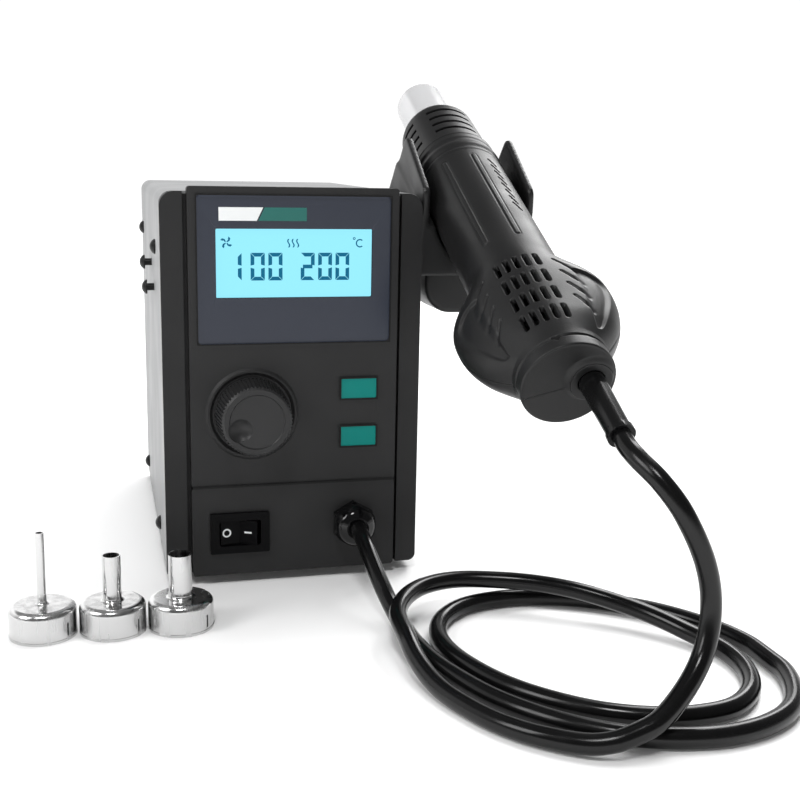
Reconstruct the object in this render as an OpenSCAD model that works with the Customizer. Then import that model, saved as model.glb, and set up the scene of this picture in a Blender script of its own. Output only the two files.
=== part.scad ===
// Hot air rework station: a small bench case with a display, a dial, a power rocker
// and a cradle on its side that holds the hot air handset, with its lead and three
// spare nozzles. Millimetres. The origin is the middle of the case's base on the
// surface it stands on. The front panel faces -Y and the handset lies on the +X side.

/* [Case] */
// Width of the case
body_w = 100; // [98:1:120]
// Height of the case without its feet
body_h = 148.4; // [146:0.2:170]
// Depth of the case
body_d = 165; // [155:1:200]
// Thickness of the sheet metal
sheet_t = 1; // [0.8:0.1:1.4]
// Outside radius of the cover's bends
bend_r = 4.5; // [3:0.5:6]
// Height of the rubber feet
foot_h = 4; // [3.5:0.5:8]
// Diameter of the rubber feet
foot_d = 12; // [10:1:16]

/* [Front] */
// Thickness of the visible edge of the front frame
frame_t = 3; // [2.5:0.5:5]
// Radius of the front frame's top corners
frame_r = 5.6; // [4:0.2:7]
// Width of each upright beside the panels
pillar_w = 8.3; // [7:0.1:8.5]
// Dark groove between upright and panels
groove = 1.6; // [1:0.1:2]
// How far the panels stand proud of the uprights
panel_proud = 2.1; // [1.5:0.1:3]
// Wall of the moulded panels
panel_wall = 2.5; // [2:0.1:3]
// Height of the lower panel
lower_h = 35.4; // [34:0.1:38]
// Height of the panels above the uprights
panel_over = 1.9; // [1:0.1:2.5]

/* [Display] */
// Width of the window
window_w = 73.8; // [68:0.2:76]
// Height of the window
window_h = 55.6; // [50:0.2:57]
// Thickness of the window
window_t = 1.5; // [1:0.1:2]
// Width of the lit display
lcd_w = 59.6; // [50:0.2:62]
// Height of the lit display
lcd_h = 25.8; // [20:0.2:27]

/* [Controls] */
// Diameter of the dial at its base
knob_d = 28.8; // [26:0.2:31]
// Diameter of the dial's front face
knob_face_d = 25.8; // [22:0.2:26]
// Height of the dial
knob_h = 14.6; // [12:0.5:16]
// Diameter of the raised ring round the dial
dish_d = 36; // [34:0.2:37]
// Width of a push button
button_w = 14; // [12:0.2:15]
// Height of a push button
button_h = 7.8; // [6:0.2:8]
// How far a button goes in
button_travel = 0.5; // [0.3:0.1:0.6]
// Width of the power switch's rim
rocker_w = 23; // [21:0.2:24]
// Height of the power switch's rim
rocker_h = 16.2; // [15:0.2:17]
// Angle between the rocker's two stops
rocker_throw = 18; // [14:1:20]

/* [Gland] */
// Width across the flats of the gland's cap nut
gland_af = 15.6; // [15:0.2:18]
// Length of the cap nut in front of the panel
gland_l = 10; // [9:0.5:12]

/* [Handset] */
// Angle of the handset in its cradle
hand_tilt = 26.6; // [20:0.2:32]
// Turn of the handset about its own axis
hand_roll = 21.5; // [0:0.5:24]
// Length of the plastic shell
shell_l = 145.6; // [140:0.2:155]
// Radius of the grip
grip_r = 17.6; // [16.5:0.1:17.8]
// Width that each wing adds to the fan housing
wing = 11.4; // [9:0.2:12]
// Wall of the shell
shell_t = 2; // [1.6:0.1:2.4]
// Outside diameter of the hot air barrel
barrel_d = 22; // [21:0.1:22]
// Length of the barrel in front of its guard
barrel_l = 31.6; // [28:0.2:40]
// Length of the slotted guard
guard_l = 32.4; // [30:0.2:36]
// Diameter of the fan wheel
fan_d = 34; // [28:1:35]

/* [Cradle] */
// Distance from the case's side to the handset's axis
cradle_reach = 24; // [23.5:0.5:28]
// Height of the cradle's ears above the handset's axis
ear_h = 14; // [12:0.5:20]
// Length of the cradle along the handset
cradle_l = 52; // [44:1:56]

/* [Nozzles] */
// Outside diameter of the nozzles' cups
cup_d = 23.2; // [23:0.1:24]
// Height of the cups
cup_h = 11; // [9:0.5:13]
// Bore of each nozzle's tube
nozzle_bores = [2.2, 5.6, 7.6];
// Height of each nozzle
nozzle_heights = [36.9, 27.6, 26.9];

/* [Hidden] */
$fn = 48;
eps = 0.01;
fit = 0.1;            // gap between pieces that slide together when assembled
run = 0.05;           // radial gap of a turning shaft
free = 0.3;           // gap between pieces that move apart

front_y = -body_d / 2;
panel_y = front_y - panel_proud;
floor_y = front_y + frame_t;
floor_t = 2;
skirt = 10;           // depth of the frame's lip inside the cover
back_y = body_d / 2;
base_z = foot_h;
top_z = base_z + body_h;
panel_w = body_w - 2 * (pillar_w + groove);
panel_gap = 0.5;
panel_top = top_z + panel_over;
upper_z = base_z + lower_h + panel_gap;
panel_d = panel_proud + frame_t;
inner_w = body_w - 2 * (sheet_t + fit);
inner_top = top_z - sheet_t - fit;

// Places on the front, measured from the middle and from the case's bottom edge
window_top = base_z + body_h - 1.1;
window_z = window_top - window_h / 2;
lcd_z = window_top - 25.3;
lcd_pocket = 3.2;
controls_z = (upper_z + window_top - window_h) / 2;
knob_x = 23.5 - panel_w / 2;
knob_z = controls_z + 0.6;
button_x = panel_w / 2 - 15.1;
button_zs = [controls_z + 9.5, controls_z - 9.6];
rocker_x = 18.3 - panel_w / 2;
rocker_z = base_z + 17.2;
gland_x = 23.3;
gland_z = base_z + 18.7;
ring_h = 1;
board_y = front_y + 14;
board_t = 1.6;

// Fasteners
screw_d = 3;
head_d = 6;
head_h = 2.2;
head_dome = 3.5;      // radius of the head's dome
side_screws = [[36, body_h - 23], [43, 8.6], [body_d - 17, body_h - 22.2], [body_d - 19, 8.6]];
stud_places = [[70.8, body_h - 32.2], [53, body_h - 40.9]];
stud_gap = 2.8;

// The handset's own frame: its axis is +Z towards the nozzle and its top faces -Y
hand_x = body_w / 2 + cradle_reach;
hand_y = front_y + 17.4;
hand_z = top_z - 1.2;
tail_s = -125;
shell_end = tail_s + shell_l;
guard_end = shell_end + guard_l;
tip_s = guard_end + barrel_l;
fan_s = tail_s + 36;
fan_half = 7.9;       // half the fan housing's thickness
cord_place = [7.15, 1];   // where the lead enters the end cap
collar_r = 7.3;           // flange of the collar round it

module placed() translate([hand_x, hand_y, hand_z]) rotate([hand_tilt - 90, 0, 0]) children();
module handset() placed() rotate([0, 0, -hand_roll]) children();

// Shared shapes
module rrect(w, h, r) {
    square([w - 2 * r, h], center = true);
    square([w, h - 2 * r], center = true);
    for (x = [-1, 1], y = [-1, 1])
        translate([x * (w / 2 - r), y * (h / 2 - r)]) circle(r);
}

module box_at(lo, hi) translate(lo) cube(hi - lo);

// A flat plate in the plane of the front, drawn in x and z, from y to y + t
module front_plate(y, t) translate([0, y + t, 0]) rotate([90, 0, 0]) linear_extrude(t) children();

// A round piece along Y from y to y + l
module along_y(x, z, y, l, d) translate([x, y, z]) rotate([-90, 0, 0]) cylinder(d = d, h = l);

// A pan head screw along +X with its head's underside at the origin
module pan_screw(l) {
    rotate([0, 90, 0]) cylinder(d = screw_d, h = l);
    rotate([0, -90, 0]) rotate_extrude() intersection() {
        translate([0, head_h - head_dome]) circle(head_dome);
        square([head_d / 2, head_h]);
    }
}

// Case

module base_pan() color("dimgray") {
    flange_h = 12;
    tab_w = 12;
    y0 = floor_y + fit;
    y1 = back_y - 2 * sheet_t - fit;
    post = side_screws[0];
    difference() {
        union() {
            box_at([-inner_w / 2, y0, base_z], [inner_w / 2, y1, base_z + sheet_t]);
            for (s = [0, 1]) mirror([s, 0, 0]) {
                box_at([inner_w / 2 - sheet_t, y0 + floor_t + skirt, base_z],
                    [inner_w / 2, y1, base_z + flange_h]);
                box_at([inner_w / 2 - sheet_t, front_y + post[0] - tab_w / 2, base_z],
                    [inner_w / 2, front_y + post[0] + tab_w / 2, base_z + post[1] + tab_w / 2]);
            }
        }
        for (p = side_screws) screw_bores(p);
        for (p = foot_places()) translate([p[0], p[1], base_z - 1]) cylinder(d = screw_d + 2 * fit, h = 3);
    }
}

module screw_bores(p) for (s = [0, 1]) mirror([s, 0, 0])
    translate([body_w / 2 - 6, front_y + p[0], base_z + p[1]]) rotate([0, 90, 0])
        cylinder(d = screw_d + 2 * fit, h = 12);

module cover() color([0.62, 0.63, 0.64]) {
    inner_r = bend_r - sheet_t;
    difference() {
        front_plate(floor_y, body_d - frame_t) difference() {
            cover_outline(body_w, top_z, bend_r);
            cover_outline(body_w - 2 * sheet_t, top_z - sheet_t, inner_r, -1);
        }
        for (p = side_screws) screw_bores(p);
        for (p = stud_places) screw_bores(p);
    }
}

// An upright rectangle with two round top corners, from the case's bottom edge
module cover_outline(w, top, r, below = 0) {
    h = top - base_z - below;
    translate([0, base_z + below + (h - r) / 2]) square([w, h - r], center = true);
    translate([0, top - r / 2]) square([w - 2 * r, r], center = true);
    for (x = [-1, 1]) translate([x * (w / 2 - r), top - r]) circle(r);
}

module rear_panel() color("gray") {
    y1 = back_y - 1;
    flange = 22;
    slot_n = 9;
    difference() {
        union() {
            box_at([-inner_w / 2, y1 - sheet_t, base_z], [inner_w / 2, y1, top_z - bend_r]);
            box_at([-inner_w / 2 + bend_r, y1 - sheet_t, top_z - bend_r - eps],
                [inner_w / 2 - bend_r, y1, inner_top]);
            for (s = [0, 1]) mirror([s, 0, 0])
                box_at([inner_w / 2 - sheet_t, y1 - flange, base_z + 14],
                    [inner_w / 2, y1 - sheet_t + eps, top_z - bend_r - 2]);
        }
        for (p = side_screws) screw_bores(p);
        front_plate(y1 - 3, 6) translate([inlet_x(), inlet_z()]) square([27.4, 19.8], center = true);
        for (s = [-1, 1]) along_y(inlet_x() + s * 20, inlet_z(), y1 - 3, 6, screw_d + 2 * fit);
        for (i = [0:slot_n - 1]) front_plate(y1 - 3, 6)
            translate([0, top_z - 28 - 7 * i]) vent_slot(60, 3);
    }
}

module vent_slot(l, w) {
    square([l - w, w], center = true);
    for (s = [-1, 1]) translate([s * (l - w) / 2, 0]) circle(d = w);
}

function inlet_x() = -body_w / 2 + 28;
function inlet_z() = base_z + 26;

module mains_inlet() color([0.09, 0.09, 0.1]) {
    y1 = back_y - 1;
    cavity = [24.4, 16.6];
    deep = 16;
    difference() {
        union() {
            front_plate(y1, 2.5) translate([inlet_x(), inlet_z()]) rrect(49, 22, 5);
            front_plate(y1 - deep - 2, deep + 2 + eps) translate([inlet_x(), inlet_z()])
                rrect(27, 19.4, 2);
        }
        front_plate(y1 - deep + 2.5, deep + 1) translate([inlet_x(), inlet_z()])
            rrect(cavity[0], cavity[1], 2.2);
        for (s = [-1, 1]) along_y(inlet_x() + s * 20, inlet_z(), y1 - 1, 6, screw_d + 2 * fit);
        for (p = pin_places()) front_plate(y1 - deep - 3, deep) translate(p)
            square([2, 4] + [2, 2] * fit, center = true);
    }
}

function pin_places() = [for (p = [[-7, 0.4], [0, 4.4], [7, 0.4]]) [inlet_x() + p[0], inlet_z() + p[1]]];

module inlet_pins() color("silver") {
    y1 = back_y - 1;
    for (p = pin_places()) front_plate(y1 - 24, 22) translate(p) square([2, 4], center = true);
}

module feet() color([0.1, 0.1, 0.1]) for (p = foot_places()) translate(p) difference() {
    rotate_extrude() polygon([[0, 0], [foot_d / 2 - 1, 0], [foot_d / 2, 1], [foot_d / 2 - 0.5, foot_h],
        [0, foot_h]]);
    translate([0, 0, -1]) cylinder(d = head_d + 2 * fit, h = 1 + foot_h / 2);
    translate([0, 0, -1]) cylinder(d = screw_d + 2 * fit, h = foot_h + 2);
}

function foot_places() = [for (x = [-1, 1], y = [-1, 1])
    [x * (body_w / 2 - 16), y * (body_d / 2 - 22), 0]];

module foot_screws() color("silver") for (p = foot_places())
    translate(p + [0, 0, foot_h / 2]) rotate([0, -90, 0])
        intersection() {
            pan_screw(foot_h / 2 + sheet_t + 2);
            translate([-foot_h / 2 + 0.2, -head_d, -head_d]) cube([foot_h + 10, 2 * head_d, 2 * head_d]);
        }

module cover_screws() color([0.12, 0.12, 0.13]) for (s = [0, 1]) mirror([s, 0, 0])
    for (p = side_screws) translate([-body_w / 2, front_y + p[0], base_z + p[1]]) pan_screw(5);

// Two headed studs on the left side, for hanging the cradle there instead
module side_studs() color([0.1, 0.1, 0.11]) for (p = stud_places)
    translate([-body_w / 2 - stud_gap, front_y + p[0], base_z + p[1]]) pan_screw(stud_gap + 4);

module front_frame() color([0.2, 0.2, 0.2]) {
    channel = panel_w + 2 * groove;
    z0 = base_z + sheet_t + fit;
    h = inner_top - z0;
    difference() {
        union() {
            front_plate(front_y, frame_t) frame_outline(base_z, body_w, body_h, frame_r, 3);
            front_plate(floor_y - eps, floor_t + skirt) frame_outline(z0, inner_w, h, bend_r - sheet_t, 1);
        }
        front_plate(front_y - 1, frame_t + 1) translate([0, top_z])
            square([channel, 2 * body_h + 10], center = true);
        front_plate(floor_y + floor_t, skirt + 1) frame_outline(z0 + 2, inner_w - 4, h - 4, 1.5, 1);
        through(true);
    }
}

// The frame's face: large top corners and small bottom corners
module frame_outline(z0, w, h, rt, rb) {
    translate([0, z0 + h / 2]) square([w - 2 * rt, h], center = true);
    translate([0, z0 + (h - rt + rb) / 2]) square([w, h - rt - rb], center = true);
    translate([0, z0 + rt]) square([w - 2 * rb, 2 * rt], center = true);
    for (x = [-1, 1]) translate([x * (w / 2 - rt), z0 + h - rt]) circle(rt);
    for (x = [-1, 1]) translate([x * (w / 2 - rb), z0 + rb]) circle(rb);
}

// Openings that the panels and the frame behind them share
module through(behind = false) {
    y = panel_y - 3;
    l = 30;
    grow = behind ? 1 : 0;
    front_plate(y, l) translate([0, lcd_z]) square([lcd_w + 2 * lcd_pocket + grow, lcd_h + 2 * lcd_pocket + grow], center = true);
    along_y(knob_x, knob_z, y, l, 7 + 2 * fit + 2 * grow);
    for (z = button_zs) front_plate(y, l) translate([button_x, z])
        rrect(button_w + 2 * free + grow, button_h + 2 * free + grow, 0.6);
    front_plate(y, l) translate([rocker_x, rocker_z]) square(rocker_body() + [2, 2] * (fit + grow / 2), center = true);
    along_y(gland_x, gland_z, y, l, 12 + 2 * fit + grow);
}

module upper_panel() color([0.22, 0.22, 0.22]) {
    h = panel_top - upper_z;
    rim = 2;
    difference() {
        union() {
            difference() {
                front_plate(panel_y, panel_d) translate([0, upper_z + h / 2]) rrect(panel_w, h, 1.2);
                front_plate(panel_y + panel_wall + window_t, panel_d) translate([0, upper_z + h / 2])
                    square([panel_w - 2 * rim, h - 2 * rim], center = true);
                front_plate(panel_y + panel_wall, panel_d) translate([0, (upper_z + rim + window_z - window_h / 2 - 2) / 2])
                    square([panel_w - 2 * rim, window_z - window_h / 2 - 2 - upper_z - rim], center = true);
            }
            translate([knob_x, panel_y, knob_z]) rotate([90, 0, 0]) rotate_extrude()
                polygon([[0, -panel_wall + eps], [dish_d / 2 - 0.2, -panel_wall + eps], [dish_d / 2, 0],
                    [dish_d / 2 - ring_h, ring_h], [dish_d / 2 - ring_h - 0.7, ring_h],
                    [knob_d / 2 + 0.8, 0], [0, 0]]);
        }
        front_plate(panel_y - 1, 1 + window_t) translate([0, window_z])
            rrect(window_w + 2 * fit, window_h + 2 * fit, 2);
        through();
    }
}

module lower_panel() color([0.21, 0.21, 0.21]) {
    rim = 2;
    difference() {
        front_plate(panel_y, panel_d) translate([0, base_z + lower_h / 2]) rrect(panel_w, lower_h, 1);
        front_plate(panel_y + panel_wall, panel_d) translate([0, base_z + lower_h / 2])
            square([panel_w - 2 * rim, lower_h - 2 * rim], center = true);
        through();
    }
}

module display_window() color([0.24, 0.26, 0.31]) difference() {
    front_plate(panel_y, window_t) translate([0, window_z]) rrect(window_w, window_h, 1.8);
    front_plate(panel_y - 1, window_t + 2) translate([0, lcd_z]) rrect(lcd_w, lcd_h, 0.5);
}

module lcd_glass() color([0.6, 0.9, 1]) front_plate(panel_y + window_t + fit, 1.6)
    translate([0, lcd_z]) square([lcd_w + 2, lcd_h + 2], center = true);

module lcd_frame() color([0.15, 0.15, 0.15]) {
    y = panel_y + window_t + fit;
    w = lcd_w + 2 * lcd_pocket - 2 * fit;
    h = lcd_h + 2 * lcd_pocket - 2 * fit;
    difference() {
        front_plate(y, board_y - y) translate([0, lcd_z]) square([w, h], center = true);
        front_plate(y - 1, 1 + 1.6) translate([0, lcd_z]) square([lcd_w + 2, lcd_h + 2] + [2, 2] * fit, center = true);
    }
}

module control_board() color([0.1, 0.35, 0.2]) difference() {
    z0 = knob_z - 22;
    z1 = lcd_z + lcd_h / 2 + 8;
    front_plate(board_y, board_t) translate([0, (z0 + z1) / 2]) square([panel_w - 4, z1 - z0], center = true);
    for (x = [-1, 1], z = [z0 + 4, z1 - 4])
        along_y(x * (panel_w / 2 - 6), z, board_y - 1, 4, screw_d);
}

module encoder_body() color("silver") difference() {
    union() {
        front_plate(board_y - 6.5, 6.5) translate([knob_x, knob_z]) square([12, 12], center = true);
        along_y(knob_x, knob_z, panel_y + 0.5, board_y - panel_y - 6, 7);
    }
    along_y(knob_x, knob_z, panel_y - 1, board_y - panel_y - 1.5, 6 + 2 * run);
}

module encoder_shaft() color("lightgray") difference() {
    along_y(knob_x, knob_z, panel_y - knob_h + 3, knob_h - 3 + board_y - panel_y - 3, 6);
    box_at([knob_x - 4, panel_y - knob_h, knob_z + 1.5], [knob_x + 4, panel_y - 2, knob_z + 4]);
}

// The dial: a tapered barrel with fine vertical ribs, a stepped face and a finger hollow
module knob() color([0.23, 0.23, 0.23]) {
    ribs = 60;
    groove_w = 0.7;
    groove_deep = 0.4;
    taper = atan(((knob_d - knob_face_d) / 2 - 0.5) / (knob_h - 2.4));
    translate([knob_x, panel_y - free, knob_z]) rotate([90, 0, 0]) difference() {
        rotate_extrude() polygon([[0, 0], [knob_d / 2, 0], [knob_d / 2, 1.2], [knob_face_d / 2 + 0.5, knob_h - 1.2],
            [knob_face_d / 2 - 0.6, knob_h], [knob_face_d / 2 - 2.4, knob_h],
            [knob_face_d / 2 - 2.8, knob_h - 0.5], [0, knob_h - 0.5]]);
        for (i = [0:ribs - 1]) rotate([0, 0, i * 360 / ribs])
            translate([knob_d / 2 - groove_deep, 0, 1.4]) rotate([0, -taper, 0])
                translate([0, -groove_w / 2, 0]) cube([1, groove_w, knob_h]);
        translate([0, 0, -1]) difference() {
            cylinder(d = 6 + 2 * fit, h = 1 + knob_h - 3 + fit);
            translate([-4, 1.5 + fit, 3.6]) cube([8, 4, knob_h]);
        }
        difference() {
            translate([0, 0, -1]) cylinder(d = knob_d - 5, h = 4);
            cylinder(d = 11, h = 5);
        }
        translate([-6.1, -3, knob_h + 3.6]) sphere(6);
    }
}

module tact_switches() color([0.13, 0.13, 0.13]) for (z = button_zs) {
    front_plate(board_y - 3.5, 3.5) translate([button_x, z]) square([6, 6], center = true);
    along_y(button_x, z, board_y - 7, 4, 3.4);
}

module button(z) {
    lip = 1.1;
    flange_y = panel_y + panel_wall + 0.1;
    front_plate(panel_y - 0.7, 0.7 + panel_wall + 1.2) translate([button_x, z]) rrect(button_w, button_h, 0.5);
    front_plate(flange_y, 1.1) translate([button_x, z]) square([button_w + 2 * lip, button_h + 2 * lip], center = true);
    along_y(button_x, z, flange_y + 1, board_y - 7 - button_travel - fit - flange_y - 1, 4);
}

module button_upper() color([0.1, 0.55, 0.5]) button(button_zs[0]);
module button_lower() color([0.1, 0.55, 0.5]) button(button_zs[1]);

function rocker_body() = [rocker_w - 5, rocker_h - 4.2];

module rocker_frame() color([0.08, 0.08, 0.09]) {
    rim_t = 1.6;
    inner = rocker_body() - [1.8, 1.8];
    difference() {
        union() {
            front_plate(panel_y - rim_t, rim_t) translate([rocker_x, rocker_z]) rrect(rocker_w, rocker_h, 0.6);
            front_plate(panel_y - eps, 15) translate([rocker_x, rocker_z]) square(rocker_body(), center = true);
            for (x = [-6, 0, 6]) front_plate(panel_y + 14, 9) translate([rocker_x + x, rocker_z]) square([0.8, 6], center = true);
        }
        front_plate(panel_y - rim_t - 1, 11) translate([rocker_x, rocker_z]) rrect(inner[0], inner[1], 1.2);
        for (s = [-1, 1]) translate([rocker_x, pivot_y(), rocker_z + s * inner[1] / 2 - 0.6])
            cylinder(d = 2 + 2 * run, h = 1.2);
    }
}

function pivot_y() = panel_y + 1.6;

// The rocker: a shallow V that turns on two stub pins, resting with its left end in
module rocker_key() color([0.07, 0.07, 0.08]) {
    half = (rocker_body()[0] - 1.8) / 2 - 1.1;
    high = rocker_body()[1] - 1.8 - 2 * free;
    vee = 17;
    crown = 1.4;
    translate([rocker_x, pivot_y(), rocker_z]) rotate([0, 0, -rocker_throw / 2]) {
        translate([0, 0, -high / 2]) linear_extrude(high)
            polygon([[-half, -crown - half * tan(vee)], [0, -crown], [half, -crown - half * tan(vee)],
                [half * 0.86, 1.6], [3, 3.4], [-3, 3.4], [-half * 0.86, 1.6]]);
        translate([0, 0, -high / 2 - free - 0.4]) cylinder(d = 2, h = high + 2 * free + 0.8);
    }
}

module gland_nut() color([0.06, 0.06, 0.06]) {
    r_out = gland_af / 2 / cos(30);
    translate([gland_x, panel_y, gland_z]) rotate([90, 0, 0]) difference() {
        intersection() {
            rotate([0, 0, 30]) cylinder(r = r_out, h = gland_l, $fn = 6);
            rotate_extrude() polygon([[0, 2.6], [gland_af / 2 + 0.6, 2.6], [gland_af / 2 + 0.6, gland_l - 4],
                [gland_af / 2 - 1, gland_l - 1.4], [gland_af / 2 - 3.4, gland_l], [0, gland_l]]);
        }
        translate([0, 0, -1]) cylinder(d = 12 + 2 * fit, h = gland_l - 2);
        cylinder(d = cord_d() + 2 * fit + 0.3, h = gland_l + 1);
    }
}

module gland_body() color([0.08, 0.08, 0.08]) {
    translate([gland_x, panel_y, gland_z]) rotate([90, 0, 0]) difference() {
        union() {
            rotate([0, 0, 30]) cylinder(d = gland_af / cos(30), h = 2.6 - fit, $fn = 6);
            translate([0, 0, -14]) cylinder(d = 12, h = 14 + gland_l - 3 - fit);
            translate([0, 0, -panel_d - floor_t - 4]) cylinder(d = 17, h = 4, $fn = 6);
        }
        translate([0, 0, -15]) cylinder(d = cord_d(), h = 15 + gland_l - 4);
    }
}

function cord_d() = 6.4;

// Inside the case

module main_board() color([0.12, 0.4, 0.25]) difference() {
    translate([board_x(), board_mid(), board_z()]) linear_extrude(board_t) square(board_size(), center = true);
    for (p = board_holes()) translate([p[0], p[1], board_z() - 1]) cylinder(d = screw_d + 2 * fit, h = 4);
}

function board_z() = base_z + sheet_t + 8;
function board_x() = 0;
function board_mid() = -18;
function board_size() = [inner_w - 14, 70];
function board_holes() = [for (x = [-1, 1], y = [-1, 1])
    [board_x() + x * (board_size()[0] / 2 - 5), board_mid() + y * (board_size()[1] / 2 - 5)]];

module standoffs() color("gold") for (p = board_holes()) translate([p[0], p[1], base_z + sheet_t]) difference() {
    cylinder(d = 6, h = board_z() - base_z - sheet_t);
    translate([0, 0, 2]) cylinder(d = screw_d, h = 20);
}

module board_screws() color("silver") for (p = board_holes())
    translate([p[0], p[1], board_z() + board_t]) rotate([0, 90, 0]) pan_screw(5);

module transformer_core() color([0.35, 0.33, 0.32]) {
    x = 14;
    y = back_y - 44;
    z = base_z + sheet_t;
    difference() {
        translate([x, y, z]) translate([-24, -10, 0]) cube([48, 20, 40]);
        for (s = [-1, 1]) translate([x + s * 12, y, z + 20]) cube([8.2, 21, 24.2], center = true);
    }
}

module transformer_coil() color([0.75, 0.45, 0.2]) {
    x = 14;
    y = back_y - 44;
    z = base_z + sheet_t;
    difference() {
        translate([x - 15.9, y - 17, z + 8]) cube([31.8, 34, 24]);
        translate([x, y, z + 20]) cube([16.2, 20.4, 24.2], center = true);
        for (s = [-1, 1]) translate([x + s * 16.05, y, z + 20]) cube([0.5, 20.4, 30], center = true);
    }
}

module heatsink() color([0.65, 0.66, 0.68]) {
    x = inner_w / 2 - 40;
    y = board_mid() - 20;
    z = board_z() + board_t;
    translate([x, y, z]) linear_extrude(28) {
        square([4, 40]);
        for (i = [0:6]) translate([4 - eps, i * 6.25]) square([16, 2.5]);
    }
}

module triac() color([0.08, 0.08, 0.08]) {
    x = inner_w / 2 - 40;
    y = board_mid();
    z = board_z() + board_t;
    translate([x - 4.6, y - 5, z + 6]) cube([4.5, 10, 15.5]);
    for (i = [-1, 0, 1]) translate([x - 3, y + i * 2.54 - 0.4, z]) cube([0.7, 0.8, 7]);
}

module capacitors() color([0.1, 0.15, 0.3]) for (i = [0, 1])
    translate([-inner_w / 2 + 24, board_mid() - 22 + 20 * i, board_z() + board_t]) cylinder(d = 13, h = 24);

// Cradle

// The channel that the handset lies in, as a section across its axis
module cradle_section() {
    wall = 3;
    reach = cradle_reach - 1;
    seat_r = grip_r + free;
    outer_r = seat_r + 4.2;
    ledge = -4;
    difference() {
        union() {
            translate([-reach, -ear_h]) square([2 * reach, ear_h + 12]);
            intersection() {
                translate([-reach, 0]) square([2 * reach, outer_r + 1]);
                circle(outer_r);
            }
            translate([-cradle_reach, 0]) square([cradle_reach, outer_r]);
        }
        circle(seat_r);
        translate([-reach + wall, -ear_h - 1]) square([2 * (reach - wall), ear_h + 1 - ledge]);
    }
}

// The ears' outline seen from the side: first how far below the handset's axis, then how
// far along it
module ear_outline() hull() for (c = [[-ear_h, 0.48 * cradle_l, 3, 1], [14, 0.7 * cradle_l, 6, 1],
    [26, 0.63 * cradle_l, 6, 1], [26, -0.5 * cradle_l, 2, -1], [2, -0.3 * cradle_l, 3, -1],
    [4.6 - ear_h, -0.25 * cradle_l, 4, -1]])
        translate([c[0] + (c[0] > 20 ? -1 : 1) * c[2], c[1] - c[3] * c[2]]) circle(c[2], $fn = 32);

module holder_cradle() color([0.13, 0.13, 0.14]) {
    plate_t = 4;
    x0 = body_w / 2;
    difference() {
        union() {
            placed() intersection() {
                translate([0, 0, -cradle_l]) linear_extrude(2 * cradle_l) cradle_section();
                translate([-cradle_reach, 0, 0]) rotate([90, 0, 90]) linear_extrude(2 * cradle_reach)
                    ear_outline();
            }
            translate([x0, 0, 0]) side_extrude(plate_t) polygon(plate_outline());
            keel();
        }
        for (p = stud_places) translate([x0 - 1, front_y + p[0], base_z + p[1]]) rotate([0, 90, 0])
            cylinder(d = screw_d + 2 * fit, h = 30);
        translate([x0 - 1, front_y + side_screws[0][0], base_z + side_screws[0][1]]) rotate([0, 90, 0])
            cylinder(d = head_d + 4 * free, h = 1 + head_h + 2 * free);
        magnet_place() cylinder(d = 12 + 2 * fit, h = 3 + 4 * fit);
        placed() cylinder(r = grip_r + free, h = 4 * cradle_l, center = true);
    }
}

// Draws y and z in the plane of the case's side and extrudes along +X
module side_extrude(t) rotate([90, 0, 90]) linear_extrude(t) children();

function plate_outline() = [for (p = [[22, 48.4], [80, 48.4], [84, 42.4], [80, 20.4], [62, 6.4], [20, 18.4]])
    [front_y + p[0], top_z - p[1]]];

// The web under the channel, with round lower corners
module keel() {
    keel_w = 32;
    keel_r = 11;
    low = top_z - 49.3;
    front_plate(front_y + 21, 24) translate([hand_x, 0]) {
        translate([0, low + keel_r + 15]) square([keel_w, 30], center = true);
        translate([0, low + keel_r]) square([keel_w - 2 * keel_r, 2 * keel_r], center = true);
        for (s = [-1, 1]) translate([s * (keel_w / 2 - keel_r), low + keel_r]) circle(keel_r);
    }
}

module magnet_place() placed() translate([0, grip_r + free - fit, -4]) rotate([-90, 0, 0]) children();

module holder_magnet() color("silver") magnet_place() translate([0, 0, 2 * fit]) cylinder(d = 12, h = 3);

module holder_screws() color([0.12, 0.12, 0.13]) for (p = stud_places)
    translate([body_w / 2 + 4, front_y + p[0], base_z + p[1]]) mirror([1, 0, 0]) pan_screw(9);

// Handset

// How far a wing stands out at distance t from the tail
wing_peak = 39.5;
wing_rise = 31;
wing_fall = 19;
wing_droop = 0.37;
function wing_out(t) = let (u = t - wing_peak) u <= -wing_rise || u >= wing_fall ? 0
    : u < 0 ? wing * pow(1 - pow(u / wing_rise, 2), 0.92)
    : wing * (1 - smooth(pow(u / wing_fall, 1.55)));
function smooth(u) = u * u * (3 - 2 * u);

// The grip is a little slimmer than the tail and the collar at the shell's front
collar_t = shell_l - 13;
grip_in = 0.25;
function crown_r(t) = t < 20 ? grip_r - 1.3 * (1 - smooth(max(0, t - 4) / 16))
    : grip_r - grip_in * smooth(min(1, (t - 20) / 50)) * (t < collar_t ? 1 : 0);

// Stations along the shell, closest where the form turns fastest
function stations() = concat([0, 1.2], [for (t = [5:3.5:54]) t], [56.5, 59, 66, 76, 100],
    [collar_t - 0.4, collar_t + 0.4, shell_l - 1, shell_l]);
sides = 40;

// The shell's skin as one closed loft, thinned all round by inset
module skin(inset, t0, t1) {
    ts = [for (t = stations()) if (t > t0 + 0.5 && t < t1 - 0.5) t];
    all = concat([t0], ts, [t1]);
    rings = [for (t = all) ring_points(t, inset + (t < 1 && inset == 0 ? 0.8 : 0))];
    n = len(all);
    pts = [for (r = rings) each r];
    walls = [for (i = [0:n - 2], j = [0:sides - 1]) let (k = (j + 1) % sides)
        [i * sides + j, (i + 1) * sides + j, (i + 1) * sides + k, i * sides + k]];
    polyhedron(pts, concat([[for (j = [0:sides - 1]) j]], walls,
        [[for (j = [sides - 1:-1:0]) (n - 1) * sides + j]]));
}

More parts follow.
